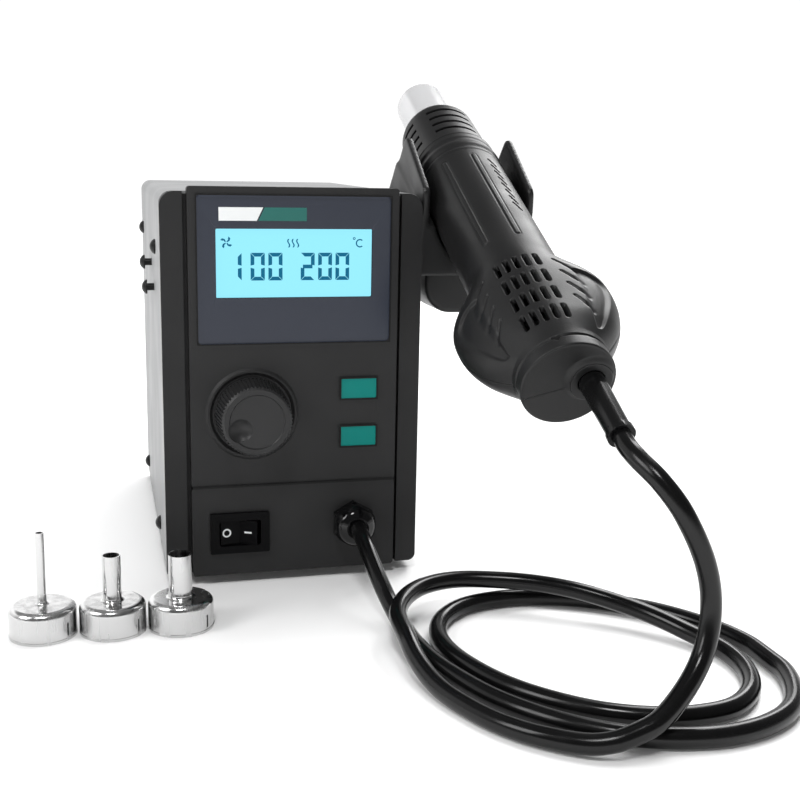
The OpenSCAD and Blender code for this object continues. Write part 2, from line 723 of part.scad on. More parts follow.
function ring_points(t, inset) = [for (j = [0:sides - 1]) let (a = 360 * j / sides,
    w = wing_out(t) * pow(abs(cos(a)), 4.4), r = crown_r(t) + w - inset)
    [r * cos(a), r * sin(a) + wing_droop * w, tail_s + t]];

// The grid of air slots over the fan, on the top or on the underside
module air_slots(side) for (i = [-2:2], k = [0:3]) rotate([0, 0, side * 90 + i * 12])
    translate([10, 0, tail_s + 14.5 + 10.4 * k]) hull() {
        rotate([0, 90, 0]) cylinder(d = 2.1, h = 12, $fn = 12);
        translate([0, 0, 5.2]) rotate([0, 90, 0]) cylinder(d = 2.1, h = 12, $fn = 12);
    }

// A place on the upper skin: t from the tail, a from the crown and out from the skin
function skin_at(t, a, out) = let (w = wing_out(t) * pow(abs(sin(a)), 4.4), r = crown_r(t) + w + out)
    [r * sin(a), wing_droop * w - r * cos(a), tail_s + t];

// The leaf-shaped hollow in each wing: t, a, and the size of the tool there
hollow_deep = 1.3;
hollow_path = [[12.5, 57.5, 1.5], [18, 62, 4], [26, 66, 7], [35, 68, 9], [43, 66, 8], [50, 60, 3.5]];
module wing_hollows() for (s = [-1, 1], i = [0:len(hollow_path) - 2]) hull()
    for (p = [hollow_path[i], hollow_path[i + 1]])
        translate(skin_at(p[0], s * p[1], p[2] - hollow_deep)) sphere(p[2], $fn = 16);

// Four slanting grooves that run from the body into each hollow
groove_starts = [49, 41, 33.5, 26];
module wing_grooves() for (s = [-1, 1], t = groove_starts, i = [0, 1]) hull() for (k = [i, i + 1])
    translate(skin_at(t - 3 * k, s * (42.5 + 7.5 * k), 0)) sphere(0.7, $fn = 6);

// The ring groove in front of the end cap
module skin_cuts() translate([0, 0, tail_s + 5]) difference() {
    cylinder(r = 30, h = 0.7);
    translate([0, 0, -1]) cylinder(r = crown_r(5) - 0.4, h = 3);
}

// The flare that rises from the end cap to the lead's collar, highest on the upper half
module cap_flare(side) translate([cord_place[0], cord_place[1], tail_s]) intersection() {
    reach = side < 0 ? 2.2 : 1;
    rise = side < 0 ? 1.2 : 0.5;
    translate([-cord_place[0], -cord_place[1], -3]) cylinder(r = crown_r(0) - 0.8, h = 6, $fn = 60);
    rotate_extrude() polygon([[collar_r + fit, 1], [collar_r + fit, -rise], [collar_r + 0.25 * reach, -0.9 * rise],
        [collar_r + 0.6 * reach, -0.35 * rise], [collar_r + reach, 0], [collar_r + reach, 1]]);
    translate([-20, side > 0 ? 0.05 - cord_place[1] : -20.05 - cord_place[1], -3]) cube([40, 20, 6]);
}

// Two raised bars along the top of the grip
bar_from = 66.5;
bar_to = 127;
module grip_bars() for (a = [-1, 1]) rotate([0, 0, -90 + a * 20.5]) hull()
    for (t = [bar_from, bar_to]) translate([grip_r - 1.35, 0, tail_s + t]) rotate([0, 90, 0])
        cylinder(d = 1.8, h = 1.5, $fn = 16);

// A round post from the split plane, or from start, out to the shell's wall
module post(side, x, t, start, d) translate([x, 0, tail_s + t]) rotate([-side * 90, 0, 0])
    translate([0, 0, start]) cylinder(d = d, h = 30, $fn = 24);

module half_box(side) translate([-40, side > 0 ? 0.05 : -40.05, tail_s - 1]) cube([80, 40, shell_l + 2]);

module shell_half(side) difference() {
    union() {
        difference() {
            intersection() {
                skin(0, 0, shell_l);
                half_box(side);
            }
            skin(shell_t, 2.4, shell_l - 4);
        }
        if (side < 0) grip_bars();
        cap_flare(side);
        intersection() {
            skin(0.6, 0, shell_l);
            half_box(side);
            union() {
                for (p = screw_places()) post(side, p[0], p[1], 0, 7);
                for (x = [-1, 1], t = [27, 45]) post(side, 13 * x, t, fan_half + fit, 4);
                for (x = [-1, 1], t = [board_from() + 4, board_to() - 4]) post(side, 7 * x, t, 0.8 + fit, 4);
            }
        }
    }
    translate([0, 0, shell_end - 5]) cylinder(r = guard_root_r() + fit, h = 8, $fn = 60);
    air_slots(side);
    skin_cuts();
    if (side < 0) {
        wing_hollows();
        wing_grooves();
    }
    translate([cord_place[0], cord_place[1], tail_s - 1]) cylinder(r = 5 + fit, h = 4.5, $fn = 32);
    for (p = screw_places()) translate([p[0], 0, tail_s + p[1]]) rotate([-90, 0, 0]) {
        translate([0, 0, -8]) cylinder(d = 2.6, h = 8 + (side > 0 ? 30 : 0), $fn = 16);
        if (side > 0) translate([0, 0, p[2]]) cylinder(d = 5, h = 30, $fn = 24);
    }
}

// Where the shell's screws sit: across, along, and how deep their heads lie
function screw_places() = [[-12, 12, 8.5], [12, 12, 8.5], [0, 70, 14.5], [0, shell_l - 34.6, 14.5]];
function board_from() = screw_places()[2][1] + 8;
function board_to() = screw_places()[3][1] - 7;

module shell_upper() color([0.16, 0.16, 0.16]) handset() shell_half(-1);
module shell_lower() color([0.15, 0.15, 0.15]) handset() shell_half(1);

module shell_screws() color("silver") handset() for (p = screw_places())
    translate([p[0], p[2], tail_s + p[1]]) rotate([90, 0, 0]) {
        translate([0, 0, -1.4]) cylinder(d = 4.4, h = 1.4);
        cylinder(d = 2.2, h = p[2] + 6);
    }

function guard_root_r() = grip_r - 2.4;

// The slotted heat guard: four bands of slots in four groups
module vent_guard() color([0.17, 0.17, 0.17]) handset() {
    r1 = grip_r - 1;
    r2 = grip_r - 1.4;
    sweep = 65;
    translate([0, 0, shell_end]) difference() {
        rotate_extrude() polygon([[barrel_d / 2 + 1.6, -5], [guard_root_r(), -5], [guard_root_r(), free / 3],
            [grip_r - 0.3, free / 3], [grip_r, 1.2], [r1, 2.2], [r2, guard_l - 2.5], [r2 - 0.9, guard_l],
            [barrel_d / 2 + 2.6, guard_l], [barrel_d / 2 + 1.6, guard_l - 1], [barrel_d / 2 + 1.6, guard_l - 2],
            [r2 - 2, guard_l - 3], [r2 - 2, 4], [barrel_d / 2 + 1.6, 2]]);
        for (q = [0:3], k = [0:3]) rotate([0, 0, 90 * q + hand_roll - sweep / 2]) translate([0, 0, 7.6 + 5.75 * k])
            rotate_extrude(angle = sweep) translate([r2 - 4, 0]) square([8, 1.8]);
    }
}

module barrel() color([0.85, 0.86, 0.88]) handset() translate([0, 0, shell_end - 4]) {
    l = tip_s - shell_end + 4;
    r = barrel_d / 2;
    rotate_extrude() polygon([[r - 0.8, 0], [r, 0], [r, l - 0.3], [r - 0.3, l], [r - 1.5, l],
        [r - 1.5, l - 0.8], [r - 0.8, l - 0.8]]);
    for (b = [[3, 1.5], [guard_l + 2.5, 0.5]]) difference() {
        translate([0, 0, b[0]]) cylinder(r = r + b[1], h = 1.5);
        translate([0, 0, b[0] - 1]) cylinder(r = r - 0.4, h = 4);
    }
}

module heater_flange() color("silver") handset() translate([0, 0, shell_end - 14]) difference() {
    union() {
        cylinder(r = barrel_d / 2 + 3, h = 2);
        translate([0, 0, 2 - eps]) difference() {
            cylinder(r = barrel_d / 2 + 1.4, h = 8 - fit);
            translate([0, 0, 7]) cylinder(r = barrel_d / 2 + 0.2, h = 8);
        }
    }
    translate([0, 0, -1]) cylinder(r = barrel_d / 2 - 1.3, h = 20);
}

module mica_sleeve() color([0.7, 0.65, 0.5]) handset() translate([0, 0, shell_end - 12]) difference() {
    cylinder(r = barrel_d / 2 - 1.4, h = tip_s - shell_end + 2);
    translate([0, 0, -1]) cylinder(r = barrel_d / 2 - 2.1, h = 100);
}

module heater_core() color([0.92, 0.9, 0.85]) handset() translate([0, 0, shell_end - 26]) {
    arm = barrel_d / 2 - 3.4;
    l = tip_s - shell_end + 14;
    linear_extrude(l) for (a = [0, 90]) rotate(a) square([2 * arm, 1.8], center = true);
    cylinder(r = 2.2, h = l);
    difference() {
        translate([0, 0, -3]) cylinder(r = barrel_d / 2 - 2.6, h = 4);
        for (a = [45:90:315]) rotate([0, 0, a]) translate([5.2, 0, -4]) cylinder(r = 2, h = 6);
    }
}

// The heater winding, drawn as closely set turns that sit in the ceramic's notches
module heater_coil() color([0.6, 0.58, 0.55]) handset() {
    turns = 11;
    for (i = [0:turns - 1]) translate([0, 0, shell_end - 16 + 6.5 * i]) rotate_extrude()
        translate([barrel_d / 2 - 2.9, 0]) circle(r = 0.45, $fn = 24);
}

module fan_housing() color([0.2, 0.2, 0.2]) handset() translate([0, 0, fan_s]) {
    r = fan_d / 2 + 2.4;
    half = fan_half;
    rotate([90, 0, 0]) difference() {
        union() {
            cylinder(r = r, h = 2 * half, center = true);
            translate([-8, 0, -half]) cube([16, r + 9, 2 * half]);
        }
        cylinder(r = r - 1.6, h = 2 * half - 3, center = true);
        translate([-6.4, 0, -half + 1.5]) cube([12.8, r + 10, 2 * half - 3]);
        cylinder(d = 20, h = 4 * half, center = true);
    }
    rotate([90, 0, 0]) translate([0, 0, -half]) difference() {
        union() {
            cylinder(d = 9, h = 1.5);
            for (a = [0:60:300]) rotate([0, 0, a]) translate([0, -0.8, 0]) cube([11, 1.6, 1.5]);
        }
        translate([0, 0, -1]) cylinder(d = 3, h = 4);
    }
}

module fan_motor() color([0.3, 0.3, 0.32]) handset() translate([0, 0, fan_s]) rotate([90, 0, 0]) {
    translate([0, 0, 1.5 - fan_half + eps]) cylinder(d = 11, h = 3.5);
    cylinder(d = 2, h = 14, center = true);
}

// The fan wheel: a backplate, a hub and curved blades round the rim
module fan_wheel() color([0.3, 0.32, 0.33]) handset() translate([0, 0, fan_s]) rotate([90, 0, 0]) {
    blades = 21;
    difference() {
        union() {
            translate([0, 0, -2.4]) cylinder(d = fan_d - 1.6, h = 1.2);
            translate([0, 0, -2.4]) cylinder(d = 7, h = 7);
            translate([0, 0, -1.3]) linear_extrude(6.6) for (i = [0:blades - 1]) rotate(i * 360 / blades)
                translate([fan_d / 2 - 3.8, 0]) rotate(32) difference() {
                    translate([-2.6, -2.6]) square([5.2, 3.6]);
                    translate([0, -5.2]) circle(r = 5);
                    translate([0, 5.6]) circle(r = 5.6);
                }
            translate([0, 0, 4.9]) difference() {
                cylinder(d = fan_d - 1.6, h = 0.8);
                translate([0, 0, -1]) cylinder(d = fan_d - 11, h = 3);
            }
        }
        cylinder(d = 2 + 2 * run, h = 30, center = true);
    }
}

module handset_board() color([0.12, 0.4, 0.25]) handset() {
    box_at([-9, -0.8, tail_s + board_from()], [9, 0.8, tail_s + board_to()]);
    translate([1, 1.9, tail_s + board_from() + 6]) cylinder(d = 2.4, h = (board_to() - board_from()) / 2);
}

module cord_collar() color([0.12, 0.12, 0.12]) handset() translate([cord_place[0], cord_place[1], tail_s]) difference() {
    union() {
        translate([0, 0, -1.4]) cylinder(r = collar_r, h = 1.4);
        translate([0, 0, -eps]) cylinder(r = 5, h = 6);
    }
    translate([0, 0, -2]) cylinder(d = cord_d() + 2 * fit, h = 20);
    translate([0, 0, -2]) cylinder(r = 4.5 + fit, h = 1.6);
}

module cord_sleeve() color([0.09, 0.09, 0.09]) handset() translate([cord_place[0], cord_place[1], tail_s - 0.4]) mirror([0, 0, 1])
    difference() {
        union() {
            cylinder(r1 = 4.5, r2 = 4.1, h = sleeve_l() - 2.4);
            translate([0, 0, sleeve_l() - 2.5]) cylinder(r = 4.6, h = 2.1);
        }
        translate([0, 0, -1]) cylinder(d = cord_d(), h = sleeve_l() - 4);
    }

function sleeve_l() = 28.4;

// Lead

// The lead's route from the gland, over the surface and up to the handset's sleeve
route = [[23.3, -91.6, 22.7], [23.3, -97.6, 22.7], [23.19, -107.81, 20.99],
    [24.63, -123.02, 13.66], [26.93, -136.36, 6.44], [28.18, -148.82, 3.64], [29, -164, 3.3],
    [31.5, -179, 3.3], [36, -193, 3.3], [42, -206.5, 3.3], [50.5, -219, 3.3],
    [61, -229.5, 3.3], [73.5, -237.5, 3.3], [88, -242, 3.3], [102.5, -243, 3.3],
    [117, -239.5, 3.3], [129.5, -231.5, 3.3], [138, -219, 3.3], [142.5, -205, 3.3],
    [142.5, -190, 3.3], [139, -175.5, 3.3], [132, -162.5, 3.3], [123, -151, 3.3],
    [111.5, -141.5, 3.3], [98.5, -134, 3.3], [84, -129.5, 3.3], [69, -129, 3.3],
    [55, -133, 3.3], [44, -143, 3.3], [38.5, -156.5, 3.3], [38.5, -171.5, 3.3],
    [42.5, -186, 3.3], [49, -199.5, 3.3], [58, -211, 3.3], [69.5, -221, 3.3],
    [83, -227.5, 3.3], [97.5, -230, 3.3], [112, -227.5, 3.3], [123.5, -218, 3.3],
    [130, -204.5, 3.3], [130.5, -190, 3.6], [125, -176, 4.5], [117, -163.5, 6.5],
    [107, -153, 8.5], [95, -144, 10.5], [83, -135.5, 11], [69.5, -129, 11], [54.5, -125.5, 11],
    [41.5, -129, 11], [31.5, -138.5, 11], [25, -152, 10.5], [24, -167, 9], [24.5, -181.5, 5.8],
    [27, -196, 3.7], [32, -210, 3.3], [39, -223, 3.3], [49, -234, 3.6], [61.5, -242, 4.5],
    [75.5, -243.5, 8.5], [88, -238, 15], [97.5, -232, 24.5], [100.8, -228.77, 37.11],
    [97.85, -228.49, 51.23], [91, -226.7, 65.69], [85.76, -220.99, 74.28],
    [82.21, -213.7, 78.99], [81.02, -207.58, 81.74], [81.02, -203.11, 83.98]];

function unit(v) = v / norm(v);

module handset_cord() color([0.05, 0.05, 0.05]) {
    n = len(route);
    cord_sides = 8;
    spine = [for (i = [0:n - 1]) route[i]];
    along = [for (i = [0:n - 1]) unit(spine[min(i + 1, n - 1)] - spine[max(i - 1, 0)])];
    across = carry(along, 0, [unit(cross(along[0], [0, 0, 1]))]);
    pts = [for (i = [0:n - 1], j = [0:cord_sides - 1]) let (a = 360 * (j + 0.5) / cord_sides)
        spine[i] + cord_d() / 2 * (cos(a) * across[i] + sin(a) * cross(along[i], across[i]))];
    walls = [for (i = [0:n - 2], j = [0:cord_sides - 1]) let (k = (j + 1) % cord_sides)
        [i * cord_sides + j, (i + 1) * cord_sides + j, (i + 1) * cord_sides + k, i * cord_sides + k]];
    polyhedron(pts, concat([[for (j = [0:cord_sides - 1]) j]], walls,
        [[for (j = [cord_sides - 1:-1:0]) (n - 1) * cord_sides + j]]));
}

// Carries one sideways direction along the lead without twisting it
function carry(along, i, done) = i >= len(along) - 1 ? done
    : carry(along, i + 1, concat(done, [unit(done[i] - along[i + 1] * (done[i] * along[i + 1]))]));

// Nozzles

nozzle_places = [[-94.9, front_y - 36.6], [-71.1, front_y - 37.9], [-47.4, front_y - 39]];
tube_t = 0.4;

// A thin cup with a rolled foot and a domed shoulder, drawn up into a tube
module nozzle(i) {
    r = cup_d / 2;
    w = 0.45;
    tr = nozzle_bores[i] / 2 + tube_t;
    h = nozzle_heights[i];
    sh = 2.4;
    translate([nozzle_places[i][0], nozzle_places[i][1], 0]) difference() {
        rotate_extrude() difference() {
            union() {
                translate([0, 0]) square([r, cup_h - sh]);
                translate([0, cup_h - sh - eps]) square([r - sh, sh + eps]);
                translate([r - sh, cup_h - sh]) circle(sh);
                square([r + 0.15, 0.9]);
                square([tr, h]);
                translate([tr, cup_h - eps]) difference() {
                    square([1.2, 1.2]);
                    translate([1.2, 1.2]) circle(1.2, $fn = 32);
                }
            }
            translate([-1, -1]) square([r - w + 1, cup_h - sh + 1]);
            translate([-1, cup_h - sh - eps]) square([r - sh + 1, sh - w + eps]);
            translate([r - sh, cup_h - sh]) circle(sh - w);
            translate([-1, -1]) square([nozzle_bores[i] / 2 + 1, h + 2]);
        }
        rotate([0, 0, -42]) translate([r - 2, -0.4, 1.6]) cube([4, 0.8, 4.6]);
    }
}

module nozzle_small() color([0.8, 0.8, 0.8]) nozzle(0);
module nozzle_medium() color([0.8, 0.8, 0.8]) nozzle(1);
module nozzle_large() color([0.8, 0.8, 0.8]) nozzle(2);

base_pan();
cover();
rear_panel();
front_frame();
upper_panel();
lower_panel();
display_window();
lcd_glass();
lcd_frame();
control_board();
encoder_body();
encoder_shaft();
knob();
tact_switches();
button_upper();
button_lower();
rocker_frame();
rocker_key();
gland_nut();
gland_body();
main_board();
standoffs();
board_screws();
transformer_core();
transformer_coil();
heatsink();
triac();
capacitors();
mains_inlet();
inlet_pins();
feet();
foot_screws();
cover_screws();
side_studs();
holder_cradle();
holder_magnet();
holder_screws();
shell_upper();
shell_lower();
shell_screws();
vent_guard();
barrel();
heater_flange();
mica_sleeve();
heater_core();
heater_coil();
fan_housing();
fan_motor();
fan_wheel();
handset_board();
cord_collar();
cord_sleeve();
handset_cord();
nozzle_small();
nozzle_medium();
nozzle_large();
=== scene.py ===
"""Hot air rework station: materials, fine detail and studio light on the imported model."""

import math

import bpy
import numpy as np
from mathutils import Matrix, Vector


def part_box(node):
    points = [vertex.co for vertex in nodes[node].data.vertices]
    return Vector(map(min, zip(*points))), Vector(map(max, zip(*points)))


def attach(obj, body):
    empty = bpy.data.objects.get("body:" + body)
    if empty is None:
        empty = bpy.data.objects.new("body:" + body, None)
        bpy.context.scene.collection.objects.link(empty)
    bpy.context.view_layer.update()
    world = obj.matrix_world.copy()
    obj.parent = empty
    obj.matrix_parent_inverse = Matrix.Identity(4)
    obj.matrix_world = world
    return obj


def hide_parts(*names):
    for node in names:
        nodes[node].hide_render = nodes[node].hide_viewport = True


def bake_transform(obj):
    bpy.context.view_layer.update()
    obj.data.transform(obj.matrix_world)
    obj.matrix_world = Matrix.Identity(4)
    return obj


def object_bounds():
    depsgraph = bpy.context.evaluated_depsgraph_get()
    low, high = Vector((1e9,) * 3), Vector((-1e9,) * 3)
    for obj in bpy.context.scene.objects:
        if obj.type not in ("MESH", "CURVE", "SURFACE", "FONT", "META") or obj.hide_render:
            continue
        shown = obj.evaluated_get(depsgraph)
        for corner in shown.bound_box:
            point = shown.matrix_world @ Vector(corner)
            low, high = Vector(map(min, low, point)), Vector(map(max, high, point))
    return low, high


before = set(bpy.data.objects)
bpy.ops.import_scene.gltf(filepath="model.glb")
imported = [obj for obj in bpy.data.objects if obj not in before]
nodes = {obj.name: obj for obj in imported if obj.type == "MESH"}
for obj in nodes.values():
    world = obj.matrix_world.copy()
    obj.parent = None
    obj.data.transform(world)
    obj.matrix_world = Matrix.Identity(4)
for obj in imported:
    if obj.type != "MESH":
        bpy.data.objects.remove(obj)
cad_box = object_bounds()
MM = 0.001


def box_mm(node):
    """The lowest and the highest corner of a CAD node, in millimetres."""
    return [[value / MM for value in corner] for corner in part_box(node)]


# Camera, at the photograph's viewing angle

CAMERA_AT = Vector((-71.9, -516.9, 166.1)) * MM
CAMERA_YAW = 14.75
CAMERA_DOWN = 11.9
CAMERA_ROLL = -1.16
CAMERA_LENS = 51.87
CAMERA_SENSOR = 36


def add_camera():
    data = bpy.data.cameras.new("camera")
    data.lens = CAMERA_LENS
    data.sensor_width = CAMERA_SENSOR
    camera = bpy.data.objects.new("camera", data)
    bpy.context.scene.collection.objects.link(camera)
    turn = Matrix.Rotation(math.radians(-CAMERA_YAW), 4, "Z")
    tip = Matrix.Rotation(math.radians(90 - CAMERA_DOWN), 4, "X")
    roll = Matrix.Rotation(math.radians(-CAMERA_ROLL), 4, "Z")
    camera.matrix_world = Matrix.Translation(CAMERA_AT) @ turn @ tip @ roll
    bpy.context.scene.camera = camera


# Building blocks of the materials


def principled(name, colour, rough, metal=0.0, specular=0.5):
    """A plain material: every value that is the same all over sits on the shader itself."""
    material = bpy.data.materials.new(name)
    material.use_nodes = True
    shader = material.node_tree.nodes["Principled BSDF"]
    shader.inputs["Base Color"].default_value = (*colour, 1)
    shader.inputs["Roughness"].default_value = rough
    shader.inputs["Metallic"].default_value = metal
    shader.inputs["Specular IOR Level"].default_value = specular
    return material


def glow(material, colour, strength):
    shader = material.node_tree.nodes["Principled BSDF"]
    shader.inputs["Emission Color"].default_value = (*colour, 1)
    shader.inputs["Emission Strength"].default_value = strength
    return material


def drive(material, socket, value):
    """Lets a node's output set one value of the material's shader."""
    material.node_tree.links.new(value, material.node_tree.nodes["Principled BSDF"].inputs[socket])
    return material


def span_node(tree, value, start, end, low, high, smooth=True):
    """A step of a value from low at start to high at end, eased or straight."""
    span = tree.nodes.new("ShaderNodeMapRange")
    span.interpolation_type = "SMOOTHSTEP" if smooth else "LINEAR"
    span.inputs["From Min"].default_value = start
    span.inputs["From Max"].default_value = end
    span.inputs["To Min"].default_value = low
    span.inputs["To Max"].default_value = high
    tree.links.new(value, span.inputs["Value"])
    return span.outputs["Result"]


def math_node(tree, operation, *values):
    """One operation on sockets and plain numbers."""
    node = tree.nodes.new("ShaderNodeMath")
    node.operation = operation
    for socket, value in zip(node.inputs, values):
        if isinstance(value, (int, float)):
            socket.default_value = value
        else:
            tree.links.new(value, socket)
    return node.outputs["Value"]


def noise_node(tree, size, detail, stretch=(1, 1, 1)):
    """Noise with features of the given size in metres, on the piece's own coordinates."""
    place = tree.nodes.new("ShaderNodeTexCoord")
    scale = tree.nodes.new("ShaderNodeMapping")
    scale.inputs["Scale"].default_value = stretch
    noise = tree.nodes.new("ShaderNodeTexNoise")
    noise.inputs["Scale"].default_value = 1 / size
    noise.inputs["Detail"].default_value = detail
    tree.links.new(place.outputs["Object"], scale.inputs["Vector"])
    tree.links.new(scale.outputs["Vector"], noise.inputs["Vector"])
    return noise.outputs["Fac"]


# How fine the noise of a grain and of a worn sheen is, and the part of its range in use
GRAIN_DETAIL = 3
WEAR_DETAIL = 2
WEAR_START = 0.35
WEAR_END = 0.65


def grained(material, size, height):
    """Adds a fine grain to the surface: size and height in metres."""
    tree = material.node_tree
    bump = tree.nodes.new("ShaderNodeBump")
    bump.inputs["Distance"].default_value = height
    tree.links.new(noise_node(tree, size, GRAIN_DETAIL), bump.inputs["Height"])
    return drive(material, "Normal", bump.outputs["Normal"])


def worn(material, size, low, high, stretch=(1, 1, 1)):
    """Lets the roughness drift between two values over patches of the given size."""
    tree = material.node_tree
    noise = noise_node(tree, size, WEAR_DETAIL, stretch)
    return drive(material, "Roughness", span_node(tree, noise, WEAR_START, WEAR_END, low, high, False))


# Materials


def plastic(name, shade, rough, grain=0.0004, height=0.00002, specular=0.3):
    """A dark moulded plastic with a fine grain and faint uneven sheen."""
    material = principled(name, (shade, shade, shade * 1.03), rough, specular=specular)
    return worn(grained(material, grain, height), 0.02, rough - 0.04, rough + 0.05)


def cover_paint():
    """Light grey powder coat with a soft orange peel."""
    paint = principled("cover_paint", (0.25, 0.253, 0.257), 0.45, specular=0.3)
    return worn(grained(paint, 0.0006, 0.00002), 0.03, 0.4, 0.5)


def button_teal():
    teal = principled("button_teal", (0.001, 0.2, 0.175), 0.38, specular=0.15)
    return worn(teal, 0.006, 0.32, 0.42)


def cord_rubber():
    rubber = principled("cord_rubber", (0.0035, 0.0035, 0.0037), 0.2, specular=0.3)
    return worn(rubber, 0.012, 0.16, 0.26)


# The nozzles' grey on their sides and the lighter grey painted on what looks up, a painted reflection,
# and the upward parts of the normal between which it changes
SIDE_GREY = 0.58
PAINTED_TOP_GREY = 0.97
SIDE_UP = 0.4
TOP_UP = 0.95


def polished_steel_painted_tops():
    """Turned nozzle steel with streaks along its axis, and a painted reflection: brighter where it looks
    up.
    """
    steel = principled("polished_steel_painted_tops", (0.5, 0.5, 0.5), 0.22, metal=1)
    worn(grained(steel, 0.0015, 0.0000012), 0.003, 0.12, 0.3, (1, 1, 0.12))
    tree = steel.node_tree
    shape = tree.nodes.new("ShaderNodeNewGeometry")
    parts = tree.nodes.new("ShaderNodeSeparateXYZ")
    tree.links.new(shape.outputs["Normal"], parts.inputs["Vector"])
    # Painted reflection: the grey turns lighter where the surface looks up
    grey = span_node(tree, parts.outputs["Z"], SIDE_UP, TOP_UP, SIDE_GREY, PAINTED_TOP_GREY)
    return drive(steel, "Base Color", grey)


# The floor's glow near the object and far from it, and the distances in metres between
# which it changes
NEAR_GLOW = 0.03
FAR_GLOW = 0.32
NEAR = 0.12
FAR = 0.8


def floor_white():
    """White floor that glows more with distance, to meet the backdrop without a line."""
    floor = glow(principled("floor", (0.95, 0.95, 0.95), 0.6, specular=0.1), (1, 1, 1), 0)
    tree = floor.node_tree
    place = tree.nodes.new("ShaderNodeTexCoord")
    length = tree.nodes.new("ShaderNodeVectorMath")
    length.operation = "LENGTH"
    tree.links.new(place.outputs["Object"], length.inputs[0])
    strength = span_node(tree, length.outputs["Value"], NEAR, FAR, NEAR_GLOW, FAR_GLOW)
    return drive(floor, "Emission Strength", strength)


def lcd_light():
    """The blue back light of the display."""
    return glow(principled("lcd_light", (0.02, 0.05, 0.06), 0.4, specular=0.1), (0.31, 0.83, 0.99), 1.0)


def lcd_ink():
    """The dark blue segments, with the back light showing through a little."""
    return glow(principled("lcd_ink", (0.003, 0.055, 0.11), 0.5, specular=0.1), (0.003, 0.085, 0.15), 1.0)


def make_materials():
    return {
        "panel": plastic("panel_plastic", 0.015, 0.5),
        "pillar": plastic("pillar_plastic", 0.013, 0.5),
        "knob": plastic("knob_plastic", 0.02, 0.42),
        "handset": plastic("handset_plastic", 0.009, 0.4, 0.0005, 0.00004),
        "cradle": plastic("cradle_plastic", 0.012, 0.36, specular=0.35),
        # Black sheet: partly the pan's own colour, partly painted shade that darkens the band under the
        # case's front edge
        "sheet": plastic("sheet_black", 0.02, 0.5),
        "dark": plastic("dark_plastic", 0.006, 0.5, specular=0.2),
        "rubber": plastic("foot_rubber", 0.012, 0.7),
        "screw": plastic("screw_black", 0.004, 0.3, specular=0.25),
        "cover": cover_paint(),
        "teal": button_teal(),
        "cord": cord_rubber(),
        "polished": polished_steel_painted_tops(),
        "floor": floor_white(),
        "lcd_light": lcd_light(),
        "ink": lcd_ink(),
        "lcd": principled("lcd_glass", (0.03, 0.035, 0.04), 0.3, specular=0.1),
        "window": principled("window_print", (0.026, 0.031, 0.046), 0.25, specular=0.3),
        "gloss": principled("gloss_black", (0.003, 0.003, 0.0034), 0.11, specular=0.38),
        "switch": principled("switch_black", (0.003, 0.003, 0.0034), 0.3, specular=0.06),
        "sleeve": principled("sleeve_rubber", (0.004, 0.004, 0.0042), 0.22, specular=0.3),
        "board": principled("board_green", (0.01, 0.1, 0.04), 0.35),
        "steel": principled("steel", (0.6, 0.6, 0.6), 0.3, metal=1),
        "chrome": principled("chrome", (0.72, 0.72, 0.73), 0.16, metal=0.35),
        "aluminium": principled("aluminium", (0.7, 0.7, 0.72), 0.35, metal=1),
        "brass": principled("brass", (0.72, 0.55, 0.24), 0.3, metal=1),
        "tape": principled("winding_tape", (0.6, 0.35, 0.1), 0.5),
        "core": principled("core_steel", (0.12, 0.11, 0.11), 0.5, metal=1),
        "ceramic": principled("ceramic", (0.8, 0.77, 0.7), 0.7),
        "mica": principled("mica", (0.45, 0.4, 0.28), 0.4),
        "capacitor": principled("capacitor_sleeve", (0.01, 0.02, 0.08), 0.3),
        "white": principled("white_print", (0.8, 0.82, 0.82), 0.45),
        "teal_print": principled("teal_print", (0.003, 0.12, 0.1), 0.4),
    }


# Which finish each CAD node has, and the width in millimetres of its broken edges
DRESS = {
    # The base pan's black is partly painted shade under the case's front edge
    "base_pan": ("sheet", 0), "cover": ("cover", 0), "rear_panel": ("sheet", 0),
    "front_frame": ("pillar", 0.5), "upper_panel": ("panel", 0.35), "lower_panel": ("panel", 0.35),
    "display_window": ("window", 0.1), "lcd_glass": ("lcd", 0), "lcd_frame": ("dark", 0),
    "control_board": ("board", 0), "encoder_body": ("steel", 0), "encoder_shaft": ("steel", 0),
    "knob": ("knob", 0), "tact_switches": ("dark", 0), "button_upper": ("teal", 0.35),
    "button_lower": ("teal", 0.35), "rocker_frame": ("switch", 0.3), "rocker_key": ("switch", 0.3),
    "gland_nut": ("gloss", 0.4), "gland_body": ("gloss", 0.2), "main_board": ("board", 0),
    "standoffs": ("brass", 0), "board_screws": ("steel", 0), "transformer_core": ("core", 0.2),
    "transformer_coil": ("tape", 0.5), "heatsink": ("aluminium", 0), "triac": ("dark", 0),
    "capacitors": ("capacitor", 0.3), "mains_inlet": ("gloss", 0.2), "inlet_pins": ("steel", 0.2),
    "feet": ("rubber", 0.2), "foot_screws": ("steel", 0), "cover_screws": ("screw", 0),
    "side_studs": ("screw", 0), "holder_cradle": ("cradle", 0), "holder_magnet": ("steel", 0.2),
    "holder_screws": ("screw", 0), "shell_screws": ("steel", 0), "vent_guard": ("handset", 0.15),
    "barrel": ("chrome", 0.1), "heater_flange": ("steel", 0), "mica_sleeve": ("mica", 0),
    "heater_core": ("ceramic", 0), "heater_coil": ("steel", 0), "fan_housing": ("dark", 0.2),
    "fan_motor": ("steel", 0), "fan_wheel": ("dark", 0), "handset_board": ("board", 0),
    "cord_collar": ("handset", 0.4), "cord_sleeve": ("sleeve", 0.2), "nozzle_small": ("polished", 0),
    "nozzle_medium": ("polished", 0), "nozzle_large": ("polished", 0),
}
# Moulded nodes whose every rim is rounded, with the grid in millimetres and the rounds
SOFT_RIMS = {"holder_cradle": (0.7, 10)}
